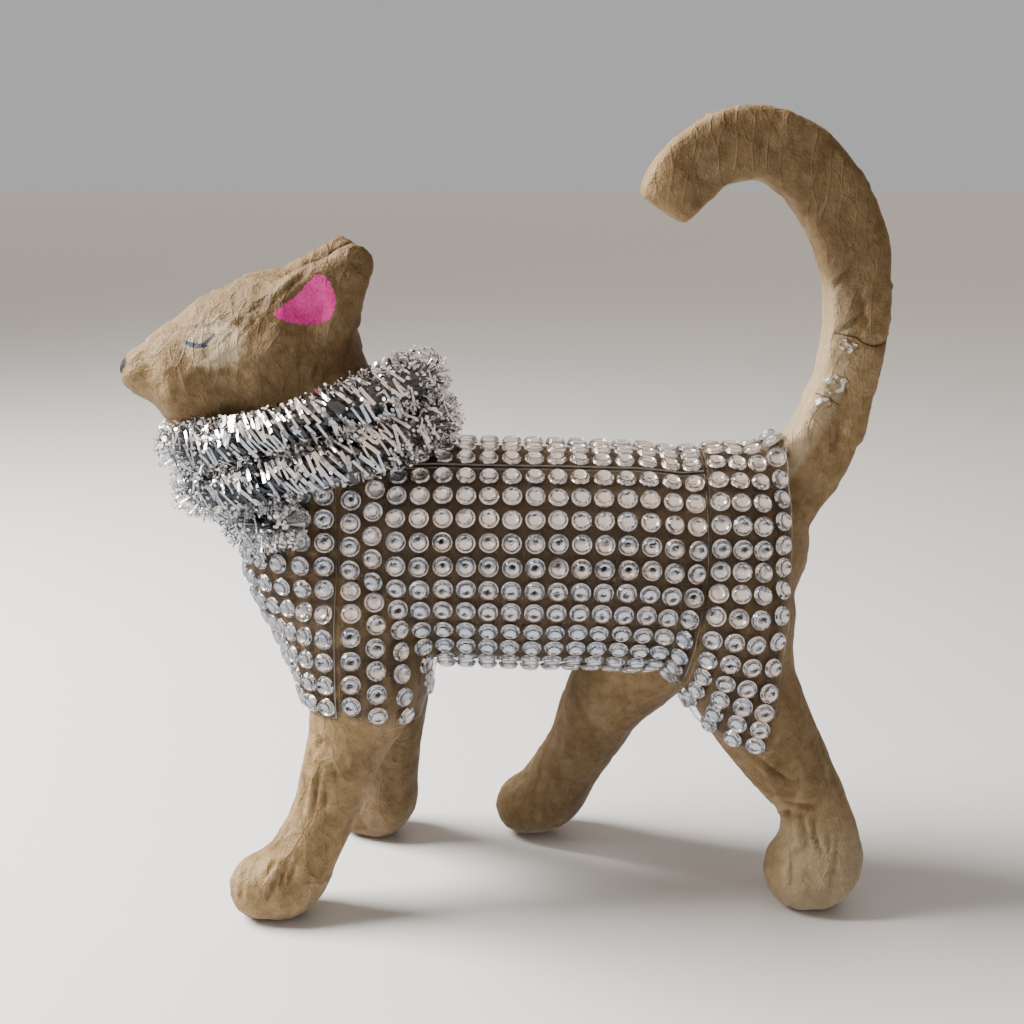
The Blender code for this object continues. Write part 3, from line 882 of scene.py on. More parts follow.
def outline_depth(points: Array, outline: Array) -> Array:
    """How far points lie inside a closed outline in the plane, below nought outside.

    Args:
        points: Points as rows of two.
        outline: The outline's corners in order.

    Returns:
        A distance for each point.
    """
    nearest = np.full(len(points), np.inf)
    inside = np.zeros(len(points), dtype=bool)
    for a, b in zip(outline, np.roll(outline, -1, axis=0)):
        edge = b - a
        share = np.clip(((points - a) @ edge) / (edge @ edge), 0, 1)
        gap = points - a - share[:, None] * edge
        nearest = np.minimum(nearest, np.linalg.norm(gap, axis=1))
        crosses = (a[1] > points[:, 1]) != (b[1] > points[:, 1])
        if b[1] != a[1]:
            at = a[0] + (points[:, 1] - a[1]) * edge[0] / edge[1]
            inside ^= crosses & (points[:, 0] < at)
    return np.where(inside, nearest, -nearest)


@dataclass(frozen=True)
class Crumple:
    """Pasted paper's relief: flat patches tilted at random, with folds where they meet."""

    size: float
    tilt: float
    fold: float
    width: float
    seed: int

    def relief(self, points: Array) -> tuple[Array, Array]:
        """Work out the relief at each point.

        Args:
            points: Points as rows, stretched beforehand where the folds run long.

        Returns:
            Heights, and how near each point is to a fold, from nought to one.
        """
        rng = np.random.default_rng(self.seed)
        low, high = points.min(axis=0), points.max(axis=0)
        cells = np.unique(np.floor((points - low) / self.size).astype(int), axis=0)
        seeds = low + (cells + rng.random(cells.shape)) * self.size
        tilts = rng.normal(size=seeds.shape) * self.tilt
        signs = rng.uniform(-1, 1, len(seeds))
        tree = KDTree(len(seeds))
        for index, seed in enumerate(seeds):
            tree.insert(seed, index)
        tree.balance()
        pairs = np.array([[(hit[1], hit[2]) for hit in tree.find_n(point, 2)]
                          for point in points])
        first, second = pairs[:, 0, 0].astype(int), pairs[:, 1, 0].astype(int)
        gap = pairs[:, 1, 1] - pairs[:, 0, 1]
        own = np.einsum("ij,ij->i", points - seeds[first], tilts[first])
        other = np.einsum("ij,ij->i", points - seeds[second], tilts[second])
        blend = 0.5 * (1 - smooth_step(gap, 0.0, 2 * self.width))
        crease = np.exp(-(gap / (2 * self.width)) ** 2)
        sign = signs[first] * signs[second]
        height = own * (1 - blend) + other * blend + crease * sign * self.fold
        return height, crease * np.sign(sign)


@dataclass(frozen=True)
class Fold:
    """A crease pressed into the paper of the left side along a line, with a lip beside it.

    The line's places are X and Z in millimetres, and the lip is above where lip is over nought.
    """

    line: tuple[tuple[float, float], ...]
    width: float = 0.55
    depth: float = 0.34
    lip: float = 0.6

    def relief(self, points: Array) -> Array:
        """Work out the crease's height.

        Args:
            points: Points as rows.

        Returns:
            A height for each point, in metres.
        """
        flat = points[:, [0, 2]] / MM
        distance = np.full(len(flat), np.inf)
        side = np.zeros(len(flat))
        share_along = np.zeros(len(flat))
        lengths = [math.dist(a, b) for a, b in zip(self.line, self.line[1:])]
        done = 0.0
        for a, b, length in zip(self.line, self.line[1:], lengths):
            start, run = np.array(a), np.array(b) - np.array(a)
            share = np.clip(((flat - start) @ run) / (run @ run), 0, 1)
            off = flat - start - share[:, None] * run
            gap = np.linalg.norm(off, axis=1)
            closer = gap < distance
            distance = np.where(closer, gap, distance)
            side = np.where(closer, np.sign(off[:, 1]), side)
            share_along = np.where(closer, (done + share * length) / sum(lengths), share_along)
            done += length
        scaled = distance / self.width
        fade = np.sin(np.pi * (0.12 + 0.76 * share_along))
        groove = -np.exp(-scaled ** 2)
        lip = abs(self.lip) * np.exp(-((scaled - 1.6) / 0.8) ** 2) * (side * self.lip > 0)
        return (groove + lip) * fade * self.depth * 1.5 * MM


FORELEG_FOLDS = (
    Fold(((-39.2, 41.8), (-38.0, 40.5), (-40.0, 37.5))),
    Fold(((-38.5, 34.5), (-39.6, 29.1), (-40.4, 23.7)), 0.7, 0.42),
    Fold(((-36.0, 35.8), (-34.9, 31.8))),
    Fold(((-37.1, 31.8), (-37.9, 25.8)), 0.6, 0.36),
    Fold(((-41.7, 31.8), (-42.9, 23.7)), 0.7, 0.36),
    Fold(((-45.4, 14.9), (-47.5, 9.3)), 0.6, 0.5),
    Fold(((-46.4, 14.9), (-49.8, 7.2)), 0.6, 0.5),
    Fold(((-48.3, 14.2), (-50.3, 11.4)), 0.5, 0.4),
    Fold(((-44.2, 14.2), (-45.6, 10.0)), 0.5, 0.4),
    Fold(((-55.0, 12.1), (-55.9, 5.9)), 0.5, 0.3))
HINDLEG_FOLDS = (
    Fold(((49.1, 38.6), (58.0, 31.6)), 0.6, 0.42),
    Fold(((50.4, 36.3), (59.3, 31.3)), 0.5, 0.3),
    Fold(((57.4, 25.6), (65.1, 25.6)), 0.8, 0.4),
    Fold(((59.0, 24.2), (58.6, 19.5)), 0.6, 0.5),
    Fold(((61.5, 22.9), (63.1, 16.7), (60.1, 14.0)), 0.7, 0.6),
    Fold(((64.0, 22.9), (64.5, 18.8), (66.3, 14.7)), 0.6, 0.55),
    Fold(((67.3, 20.1), (66.9, 14.7)), 0.5, 0.4),
    Fold(((69.2, 18.8), (67.9, 9.2)), 0.6, 0.4),
    Fold(((60.1, 13.3), (59.7, 7.8)), 0.5, 0.4))
TAIL_FOLDS = (
    Fold(((65.2, 131.0), (67.0, 133.7), (68.4, 134.7), (68.8, 136.5)), 0.5, 0.45),
    Fold(((70.4, 132.5), (71.9, 127.5), (72.8, 123.2)), 0.5, 0.4),
    Fold(((66.9, 122.6), (71.7, 126.3)), 0.5, 0.45),
    Fold(((66.9, 122.6), (71.0, 121.6), (74.9, 119.7), (78.6, 121.6)), 0.45, 0.3),
    Fold(((63.5, 109.9), (68.0, 107.7)), 0.45, 0.3),
    Fold(((68.3, 103.5), (67.6, 98.3)), 0.5, 0.3),
    Fold(((61.8, 103.5), (63.3, 100.9)), 0.5, 0.3))
HEAD_FOLDS = (
    Fold(((-53.6, 124.4), (-50.4, 127.6), (-46.4, 130.8)), 0.4, 0.22),
    Fold(((-52.2, 122.6), (-49.9, 125.4), (-48.0, 128.8)), 0.35, 0.2),
    Fold(((-46.1, 129.4), (-38.9, 135.4)), 0.6, 0.4),
    Fold(((-38.4, 113.9), (-37.4, 117.5)), 0.5, 0.35))


@dataclass
class PaperCat:
    """The papier-mache cat itself."""

    node: bpy.types.Object
    head: Head
    voxel: float = 0.76 * MM
    smoothing: int = 8
    sheets: tuple[BVHTree, ...] = ()
    folds: tuple[Fold, ...] = FORELEG_FOLDS + HINDLEG_FOLDS + TAIL_FOLDS + HEAD_FOLDS
    obj: bpy.types.Object = field(init=False)

    def build(self) -> bpy.types.Object:
        """Refine the CAD solid and press the paper's folds into it.

        Returns:
            The cat's object.
        """
        self.obj = bpy.data.objects.new("pasted_paper_cat", self.node.data.copy())
        bpy.context.scene.collection.objects.link(self.obj)
        remesh = self.obj.modifiers.new("Even skin", "REMESH")
        remesh.mode = "VOXEL"
        remesh.voxel_size = self.voxel
        relax = self.obj.modifiers.new("Soften", "SMOOTH")
        relax.iterations = self.smoothing
        applied(self.obj)
        mesh = self.obj.data
        points = read(mesh.vertices, "co")
        normals = read(mesh.vertices, "normal")
        heights, ridge, hollow = self.crumpled(points, normals)
        points = points + normals * heights[:, None]
        points[:, 2] = np.maximum(points[:, 2], 0.0)
        mesh.vertices.foreach_set("co", points.ravel())
        mesh.polygons.foreach_set("use_smooth", [True] * len(mesh.polygons))
        mesh.update()
        store(mesh, "ridge", ridge)
        store(mesh, "hollow", hollow)
        store(mesh, "ear_paint", self.ear_paint(points, normals))
        store(mesh, "covered", self.covered(points))
        # Masks of darker paper and painted shade, and of painted light, for the paper's colour.
        tanned, bleached = self.stains(points, normals)
        store(mesh, "tanned", tanned)
        store(mesh, "bleached", bleached)
        return self.obj

    def covered(self, points: Array) -> Array:
        """How far each point lies under a rhinestone sheet, from nought to one.

        Args:
            points: Points as rows.

        Returns:
            A share for each point.
        """
        gaps = np.full(len(points), 2 * MM)
        for tree in self.sheets:
            for index, point in enumerate(points):
                distance = tree.find_nearest(point, 2 * MM)[3]
                if distance is not None and distance < gaps[index]:
                    gaps[index] = distance
        return 1 - smooth_step(gaps, 0.55 * MM, 0.85 * MM)

    @staticmethod
    def zones(points: Array) -> dict[str, Array]:
        """How strongly each part of the cat shows its paper, from nought to one.

        Args:
            points: Points as rows.

        Returns:
            Shares for the legs, the tail, the head and the covered body.
        """
        x, z = points[:, 0], points[:, 2]
        legs = 1 - smooth_step(z, 36 * MM, 46 * MM)
        tail = smooth_step(x + 0.35 * z, 84 * MM, 90 * MM) * smooth_step(z, 60 * MM, 75 * MM)
        head = smooth_step(-x, 26 * MM, 30 * MM) * smooth_step(z, 106 * MM, 112 * MM)
        body = np.clip(1 - legs - tail - head, 0, 1)
        return {"legs": legs, "tail": tail, "head": head, "body": body}

    def stains(self, points: Array, normals: Array) -> tuple[Array, Array]:
        """Where the paper is darker or paler than on the near foreleg, from nought to one: darker
        paper on the head, painted shade on the far legs, the tail's curl and the hind thigh, and
        painted light on the tail's left-facing facet and the hind ankle.

        Args:
            points: Points as rows.
            normals: Their normals.

        Returns:
            Shares of darkening (darker paper and painted shade) and of painted light for each point.
        """
        zones = self.zones(points)
        x, y, z = points.T
        # Darker paper over the head, more behind the eye than on the muzzle.
        face = (0.45 + 0.45 * smooth_step(x, -68 * MM, -56 * MM)) * smooth_step(-x, 20 * MM, 26 * MM)
        head = face * smooth_step(z, 98 * MM, 104 * MM)
        # Painted shade on the side of the tail's curl, on the far legs and on the hind thigh.
        curl = 0.9 * np.abs(normals[:, 1]) * zones["tail"] * smooth_step(z, 120 * MM, 135 * MM)
        far_legs = 0.9 * smooth_step(y, -1 * MM, 6 * MM) * smooth_step(-z, -60 * MM, -45 * MM)
        thigh = 0.4 * smooth_step(x, 36 * MM, 44 * MM) * smooth_step(z, 24 * MM, 32 * MM)
        tanned = np.maximum.reduce([head, curl, far_legs, thigh * (1 - zones["tail"])])
        # Painted light: the tail's left-facing facet and the hind ankle are paler.
        spine = 70 * MM - 2 * MM * ((z - 120 * MM) / (12 * MM)) ** 2
        facet = 0.26 * smooth_step(spine - x, -0.4 * MM, 1.2 * MM) * zones["tail"]
        facet *= 1 - smooth_step(z, 126 * MM, 138 * MM)
        ankle = 0.25 * smooth_step(x, 55 * MM, 60 * MM) * smooth_step(-z, -24 * MM, -16 * MM)
        return tanned, np.maximum(facet, ankle)

    def crumpled(self, points: Array, normals: Array) -> tuple[Array, Array, Array]:
        """The height of the paper's relief at each point.

        Args:
            points: Points as rows.
            normals: Their normals.

        Returns:
            Heights, and how far each point stands on a ridge and in a hollow.
        """
        zones = self.zones(points)
        warp = np.array([noise.noise_vector(Vector(point) / (7 * MM)) for point in points])
        bent = points + warp * 2.2 * MM
        long = bent * np.array([1.0, 1.0, 0.4])
        layers = (
            (Crumple(6.0 * MM, 0.022, 0.22 * MM, 0.65 * MM, 11), long, zones["legs"]),
            (Crumple(2.8 * MM, 0.045, 0.12 * MM, 0.45 * MM, 12), long, zones["legs"]),
            (Crumple(6.5 * MM, 0.035, 0.20 * MM, 0.65 * MM, 13), bent, zones["tail"]),
            (Crumple(3.0 * MM, 0.045, 0.10 * MM, 0.45 * MM, 14), bent, zones["tail"]),
            (Crumple(4.6 * MM, 0.040, 0.18 * MM, 0.6 * MM, 15), bent, zones["head"]),
            (Crumple(2.3 * MM, 0.070, 0.12 * MM, 0.45 * MM, 16), bent, zones["head"]),
            (Crumple(4.5 * MM, 0.020, 0.04 * MM, 0.6 * MM, 17), bent, zones["body"]))
        heights = np.zeros(len(points))
        ridge = np.zeros(len(points))
        for crumple, where, share in layers:
            active = share > 0.01
            height, crease = crumple.relief(where[active])
            heights[active] += height * share[active]
            ridge[active] += crease * share[active] * crumple.fold / (0.7 * MM)
        near = np.clip(-2.5 * normals[:, 1], 0, 1) * smooth_step(-points[:, 1], 1 * MM, 3 * MM)
        pressed = sum(fold.relief(points) for fold in self.folds) * near
        heights += pressed
        ridge += pressed / (0.70 * MM)
        return heights, np.clip(ridge, 0, 1), np.clip(-ridge, 0, 1)

    def ear_paint(self, points: Array, normals: Array) -> Array:
        """How deep inside the painted ears each point lies, below nought outside them.

        Args:
            points: Points as rows.
            normals: Their normals.

        Returns:
            A distance for each point.
        """
        turned = self.head.to_head(points)
        ahead = self.head.to_head(points + normals * MM) - turned
        side = np.sign(turned[:, 1])
        facing = (ahead[:, 1] / MM * side - 0.12) * 4 * MM
        outline = np.array(self.head.ear_outline) * MM
        depth = outline_depth(turned[:, [0, 2]], outline)
        away = (np.abs(turned[:, 1]) - 6 * MM)
        return np.minimum(np.minimum(depth, facing), away)


@dataclass(frozen=True)
class Cell:
    """The place of one rhinestone on its film."""

    centre: Vector
    normal: Vector
    along: Vector


@dataclass
class RhinestoneSheet:
    """One cut piece of rhinestone film: the film, the clear stones and their foil backs."""

    node: bpy.types.Object
    cat: BVHTree
    seed: int
    radius: float = 2.02 * MM
    girdle: float = 0.30 * MM
    shoulder: tuple[float, float] = (0.90, 0.62 * MM)
    table: tuple[float, float] = (0.70, 1.06 * MM)
    cup: tuple[tuple[float, float], ...] = ((0.77, 0.36 * MM), (0.57, 0.19 * MM),
                                            (0.37, 0.10 * MM), (0.16, 0.06 * MM))
    sides: int = 12
    film: bpy.types.Object = field(init=False)
    stones: bpy.types.Object = field(init=False)
    foils: bpy.types.Object = field(init=False)

    def build(self) -> list[bpy.types.Object]:
        """Make the film, the stones and the foils.

        Returns:
            The three objects.
        """
        solid = welded(self.node)
        solid.normal_update()
        peaks = {}
        for vertex in solid.verts:
            cell = self.cell_at(vertex)
            if cell is not None:
                peaks[vertex] = cell
        cells = list(peaks.values())
        bmesh.ops.dissolve_verts(solid, verts=list(peaks))
        self.film = self.film_piece(solid)
        solid.free()
        self.stones = self.spread("stones", cells, *self.crown())
        self.foils = self.spread("foils", cells, *self.foil())
        return [self.film, self.stones, self.foils]

    @staticmethod
    def cell_at(vertex: bmesh.types.BMVert) -> Cell | None:
        """Find the rhinestone whose point this vertex is.

        Args:
            vertex: A vertex of the CAD sheet.

        Returns:
            The cell, or None where the vertex isn't a stone's point.
        """
        if len(vertex.link_edges) != 4:
            return None
        normal = vertex.normal
        first = normal.orthogonal().normalized()
        second = normal.cross(first)
        around = sorted((edge.other_vert(vertex).co - vertex.co for edge in vertex.link_edges),
                        key=lambda way: math.atan2(way.dot(second), way.dot(first)))
        corners = [vertex.co + way for way in around]
        centre = sum(corners, Vector()) / 4
        face = (corners[2] - corners[0]).cross(corners[3] - corners[1]).normalized()
        height = (vertex.co - centre).dot(face)
        if not 1.0 * MM < height < 1.8 * MM:
            return None
        side = (corners[1] - corners[0]) + (corners[2] - corners[3])
        return Cell(centre, face, side.normalized())

    def film_piece(self, solid: bmesh.types.BMesh) -> bpy.types.Object:
        """Make the film from the CAD sheet without its stones.

        Args:
            solid: The sheet's slab.

        Returns:
            The film's object, with its cut edges marked in a face mask.
        """
        name = self.node.name.replace("sheet", "film")
        mesh = bpy.data.meshes.new(name)
        solid.normal_update()
        rims = []
        for face in solid.faces:
            nearest = self.cat.find_nearest(face.calc_center_median())
            rims.append(float(abs(face.normal.dot(nearest[1])) < 0.6))
        solid.to_mesh(mesh)
        store(mesh, "rim", np.array(rims), "FACE")
        made = bpy.data.objects.new(name, mesh)
        bpy.context.scene.collection.objects.link(made)
        return made

    def crown(self) -> tuple[Array, list[tuple[int, ...]]]:
        """The clear faceted body of one stone, standing on its flat back.

        Returns:
            Its points and faces.
        """
        around = np.arange(2 * self.sides) * math.pi / self.sides
        ring = np.stack([np.cos(around), np.sin(around)], axis=1)
        levels = [(ring, 1.0, 0.02 * MM), (ring, 1.0, self.girdle),
                  (ring[::2], *self.shoulder), (ring[1::2], *self.table)]
        points = [np.column_stack([place * share * self.radius, np.full(len(place), height)])
                  for place, share, height in levels]
        n = self.sides
        base, rim, knee, top = 0, 2 * n, 4 * n, 5 * n
        faces: list[tuple[int, ...]] = [tuple(range(2 * n - 1, -1, -1))]
        for i in range(2 * n):
            j = (i + 1) % (2 * n)
            faces.append((base + i, base + j, rim + j, rim + i))
        for i in range(n):
            j = (i + 1) % n
            faces.append((rim + 2 * i, rim + 2 * i + 1, knee + i))
            faces.append((rim + 2 * i + 1, rim + (2 * i + 2) % (2 * n), knee + j))
            faces.append((knee + i, rim + 2 * i + 1, knee + j, top + i))
            faces.append((knee + j, top + j, top + i))
        faces.append(tuple(top + i for i in range(n)))
        return np.concatenate(points), faces

    def foil(self) -> tuple[Array, list[tuple[int, ...]]]:
        """The silvered back of one stone: a faceted cup with a flat band round it, whose inner part
        is dark as a painted ring of shade.

        Returns:
            Its points and faces.
        """
        around = np.arange(self.sides) * 2 * math.pi / self.sides
        ring = np.stack([np.cos(around), np.sin(around)], axis=1) * self.radius
        levels = ((0.99, 0.06 * MM), (0.91, 0.06 * MM), (0.91, 0.05 * MM), (0.77, 0.05 * MM),
                  *self.cup)
        points = [np.column_stack([ring * share, np.full(self.sides, height)])
                  for share, height in levels]
        n = self.sides
        faces: list[tuple[int, ...]] = []
        for level in range(len(levels) - 1):
            for i in range(n):
                j = (i + 1) % n
                faces.append((level * n + i, level * n + j, (level + 1) * n + j,
                              (level + 1) * n + i))
        last = (len(levels) - 1) * n
        faces.append(tuple(range(last, last + n)))
        return np.concatenate(points), faces

    def spread(self, kind: str, cells: list[Cell], points: Array,
               faces: list[tuple[int, ...]]) -> bpy.types.Object:
        """Set a copy of one shape on every cell, each turned and tipped a little.

        Args:
            kind: What the shape is, for the object's name.
            cells: Where the copies go.
            points: The shape's points.
            faces: The shape's faces.

        Returns:
            One object with all the copies.
        """
        rng = np.random.default_rng(self.seed)
        all_points, all_faces, tones, dims = [], [], [], []
        dark = np.zeros(len(points))
        # Painted shade: on the foils the inner flat band is marked dark, a ring round each stone.
        if kind == "foils":
            dark[2 * self.sides:4 * self.sides] = 1.0
        for index, cell in enumerate(cells):
            spin = rng.uniform(0, 2 * math.pi)
            tip = Vector((*rng.normal(0, 0.05, 2), 1)).normalized()
            frame = Matrix((cell.along, cell.normal.cross(cell.along), cell.normal)).transposed()
            frame = frame @ tip.to_track_quat("Z", "Y").to_matrix()
            frame = frame @ Matrix.Rotation(spin, 3, "Z")
            shift = Vector(rng.normal(0, 0.05 * MM, 2).tolist() + [0])
            place = cell.centre + frame @ shift
            all_points.append(points @ np.array(frame).T + np.array(place))
            all_faces += [tuple(i + index * len(points) for i in face) for face in faces]
            tones += [rng.random()] * len(points)
            dims += dark.tolist()
        name = self.node.name.replace("sheet", kind)
        made = mesh_object(name, np.concatenate(all_points), all_faces)
        store(made.data, "tone", np.array(tones))
        store(made.data, "dim", np.array(dims))
        store(made.data, "tip", np.zeros(len(tones)))
        return made


@dataclass
class Foils:
    """Foil strips as they gather: points, faces and the masks of each point."""

    points: list[Array] = field(default_factory=list)
    faces: list[tuple[int, ...]] = field(default_factory=list)
    tones: list[float] = field(default_factory=list)
    dims: list[float] = field(default_factory=list)
    tips: list[float] = field(default_factory=list)
    count: int = 0

    def add(self, points: Array, faces: list[tuple[int, ...]], tone: float, dim: float,
            tip: float = 0.0) -> None:
        """Add one strip.

        Args:
            points: Its points as rows.
            faces: Its faces.
            tone: How warm it is.
            dim: Its draw for being dark.
            tip: Whether it is a tip that carries a painted highlight.
        """
        self.points.append(points)
        self.faces += [tuple(i + self.count for i in face) for face in faces]
        self.tones += [tone] * len(points)
        self.dims += [dim] * len(points)
        self.tips += [tip] * len(points)
        self.count += len(points)

    def finish(self, name: str) -> bpy.types.Object:
        """Make one object of all the strips.

        Args:
            name: Its name.

        Returns:
            The object, with its masks stored.
        """
        made = mesh_object(name, np.concatenate(self.points), self.faces)
        store(made.data, "tone", np.array(self.tones))
        store(made.data, "dim", np.array(self.dims))
        store(made.data, "tip", np.array(self.tips))
        return made


@dataclass
class TinselGarland:
    """The garland: a wound core that bristles with cut foil strips."""

    node: bpy.types.Object
    cat: BVHTree
    centre: tuple[float, float, float] = (-42.2, 0.0, 101.5)
    reach_x: float = 25.3
    reach_y: float = 20.6
    tilt: float = math.radians(-17)
    drop: float = 9.0
    spread_y: float = 0.7
    tuck_x: float = 7.5
    tuck_turns: tuple[float, float] = (1.8, 2.2)
    turns: tuple[float, float] = (0.06, 2.42)
    radius: float = 4.7
    swell: float = 1.3
    shift: tuple[float, float] = (1.0485, -1.0955)
    pitch: float = 0.95
    ribs_round: int = 8
    filaments: int = 8200
    curls: int = 420
    seed: int = 5
    obj: bpy.types.Object = field(init=False)
    core: bpy.types.Object = field(init=False)

    def middle(self, turns: float) -> Vector:
        """The middle of the garland.

        Args:
            turns: How many turns along it.

        Returns:
            The place.
        """
        angle = 2 * math.pi * turns
        drop = self.drop * (turns + math.sin(angle) / (2 * math.pi) - 1)
        start, end = self.tuck_turns
        tuck = min(max((turns - start) / (end - start), 0), 1)
        along = -(self.reach_x - self.tuck_x * tuck) * math.sin(angle)
        across = (self.reach_y + self.spread_y * turns) * math.cos(angle)
        tilt = Matrix.Rotation(self.tilt, 3, "Y")
        place = Vector(self.centre) + tilt @ Vector((along, across, -drop))
        return (place + Vector((*self.shift, 0))) * MM

    def girth(self, turns: float) -> float:
        """The garland's radius.

        Args:
            turns: How many turns along it.

        Returns:
            The radius, more at the front and at the nape.
        """
        swell = 1 + (self.swell - 1) * abs(math.sin(2 * math.pi * turns))
        return self.radius * swell * MM

    def frame_at(self, turns: float) -> tuple[Vector, Vector, Vector, Vector]:
        """The garland's own axes.

        Args:
            turns: How many turns along it.

        Returns:
            Its middle, and the ways along it, away from the neck, and upwards.
        """
        here = self.middle(turns)
        along = (self.middle(turns + 0.004) - self.middle(turns - 0.004)).normalized()
        hub = (Vector(self.centre) + Vector((*self.shift, 0))) * MM
        away = here - hub
        away = away - along * away.dot(along)
        lift = Vector((0, 0, 1))
        lift = (lift - along * lift.dot(along)).normalized()
        away = (away - lift * away.dot(lift)).normalized()
        return here, along, away, lift

    def clear_of_cat(self, point: Vector) -> bool:
        """Whether a point is outside the cat's paper.

        Args:
            point: The place.

        Returns:
            True where it is outside.
        """
        place, normal, _, _ = self.cat.find_nearest(point)
        return (point - place).dot(normal) > -0.1 * MM

    def ribbon(self, places: list[Vector], across: list[Vector], width: float
               ) -> tuple[Array, list[tuple[int, ...]]]:
        """A flat strip along some places.

        Args:
            places: Its middle line.
            across: The way across it at each place.
            width: Its width.

        Returns:
            Its points and faces.
        """
        points = []
        for place, way in zip(places, across):
            points += [place - way * width / 2, place + way * width / 2]
        faces = [(2 * i, 2 * i + 1, 2 * i + 3, 2 * i + 2) for i in range(len(places) - 1)]
        return np.array(points), faces

    def rib(self, turns: float, angle: float, rng: np.random.Generator, foils: Foils) -> None:
        """Lay one flat strip across the cord, leaning as the winding does.

        Args:
            turns: Where along the garland its middle is.
            angle: Where round the cord its middle is, with nought away from the neck.
            rng: The source of chance.
            foils: Where it goes.
        """
        here, along, away, lift = self.frame_at(turns)
        radius = self.girth(turns)
        sweep = rng.uniform(3.4, 5.2) * MM / radius
        lean = rng.normal(-0.34, 0.16)
        height = radius * rng.uniform(0.84, 1.0)
        raised = rng.uniform(-0.10, 0.16)
        places, across = [], []
        for share in (0.0, 0.33, 0.67, 1.0):
            turn = angle + sweep * (share - 0.5)
            out = away * math.cos(turn) + lift * math.sin(turn)
            flare = 1 + raised * (0.5 - share) + 0.10 * (2 * share - 1) ** 2
            slide = along * lean * radius * sweep * (share - 0.5)
            places.append(here + out * height * flare + slide)
            way = away * -math.sin(turn) + lift * math.cos(turn)
            across.append((along - way * lean + out * rng.normal(0, 0.10)).normalized())
        if all(self.clear_of_cat(place) for place in places):
            foils.add(*self.ribbon(places, across, rng.uniform(0.42, 0.86) * MM), rng.random(),
                      rng.random())

    def fan(self, turns: float, angle: float, rng: np.random.Generator, foils: Foils,
            ahead: float = 0.0) -> None:
        """Stand one thin filament out of the cord, with its cut tip at the end, mostly painted as a
        highlight.

        Args:
            turns: Where along the garland it stands.
            angle: Where round the cord it points.
            rng: The source of chance.
            foils: Where it goes.
            ahead: How far it leans along the cord, for the loose ends.
        """
        here, along, away, lift = self.frame_at(turns)
        tight = abs(math.sin(2 * math.pi * turns))
        out = away * math.cos(angle) + lift * math.sin(angle)
        way = (out + along * (ahead + rng.normal(0, 0.18 + 0.35 * tight))).normalized()
        length = self.girth(turns) * rng.uniform(0.94, 1.14)
        spin = rng.uniform(0, math.pi)
        cross = way.cross(along).normalized()
        side = (cross * math.cos(spin) + way.cross(cross) * math.sin(spin)).normalized()
        bend = side * rng.normal(0, 0.3 * MM)
        places = [here + way * length * share + bend * share ** 2 for share in (0.4, 0.72, 1.0)]
        if not all(self.clear_of_cat(place) for place in places):
            return
        tone, dim = rng.random(), rng.random()
        foils.add(*self.ribbon(places, [side] * 3, rng.uniform(0.12, 0.30) * MM), tone, dim)
        facing = (way + Vector(rng.normal(0, 0.35, 3))).normalized()
        first = facing.orthogonal().normalized()
        second = facing.cross(first)
        size = rng.uniform(0.20, 0.42) * MM
        disc = [places[-1] + (first * math.cos(a) + second * math.sin(a) * 1.3) * size
                for a in np.arange(6) * math.pi / 3]
        # Painted highlight: three tips in four are marked to show near white.
        foils.add(np.array(disc), [tuple(range(6))], tone, 0.0, float(rng.random() < 0.75))

    def curl(self, turns: float, angle: float, rng: np.random.Generator, foils: Foils) -> None:
        """Bend one narrow strip into a loop that stands out of the cord.

        Args:
            turns: Where along the garland it stands.
            angle: Where round the cord it stands.
            rng: The source of chance.
            foils: Where it goes.
        """
        here, along, away, lift = self.frame_at(turns)
        out = away * math.cos(angle) + lift * math.sin(angle)
        loop = rng.uniform(0.7, 1.5) * MM
        spin = rng.uniform(0, math.pi)
        first = (lift * math.cos(spin) + along * math.sin(spin)).normalized()
        hub = here + out * self.girth(turns) * rng.uniform(0.78, 0.95)
        arc = rng.uniform(3.2, 5.4)
        turned = [arc * i / 10 for i in range(11)]
        places = [hub + first * loop * math.cos(a) + out * loop * math.sin(a) for a in turned]
        across = [first.cross(out).normalized()] * len(places)
        if all(self.clear_of_cat(place) for place in places):
            foils.add(*self.ribbon(places, across, rng.uniform(0.25, 0.6) * MM), rng.random(),
                      rng.random())

    def build(self) -> list[bpy.types.Object]:
        """Make the core and the strips.

        Returns:
            Both objects.
        """
        rng = np.random.default_rng(self.seed)
        foils = Foils()
        first, last = self.turns
        place = first
        while place < last:
            here, ahead = self.middle(place), self.middle(place + 0.001)
            bare = 0.10 + 0.70 * abs(math.sin(2 * math.pi * place)) ** 1.5
            for index in range(self.ribs_round):
                angle = -2.5 + 5.0 * (index + 0.5) / self.ribs_round
                if rng.random() > bare:
                    self.rib(place + rng.normal(0, 0.0012), angle + rng.normal(0, 0.12), rng,
                             foils)
            place += 0.001 * self.pitch * MM / (ahead - here).length
        for _ in range(self.filaments):
            turns = rng.uniform(first, last)
            tight = math.sin(2 * math.pi * turns) ** 2
            if rng.random() < 0.26 + 0.74 * tight:
                edge = rng.random() < 0.5 * (1 - tight)
                side = 1 if rng.random() < 0.3 else -1
                angle = side * rng.normal(1.35, 0.3) if edge else rng.uniform(-2.4, 2.4)
                self.fan(turns, angle, rng, foils)
        for end, ahead in ((first, -1.0), (last, 1.0)):
            for _ in range(220):
                self.fan(end, rng.uniform(-math.pi, math.pi), rng, foils,
                         ahead * rng.uniform(0.2, 1.6))
        for _ in range(self.curls):
            turns = rng.uniform(first, last)
            if rng.random() < 0.10 - 0.9 * min(math.sin(2 * math.pi * turns), 0.0):
                self.curl(turns, rng.uniform(-0.6, 2.2), rng, foils)
        self.obj = foils.finish("foil_strips")
        self.core = self.wound_core()
        return [self.obj, self.core]

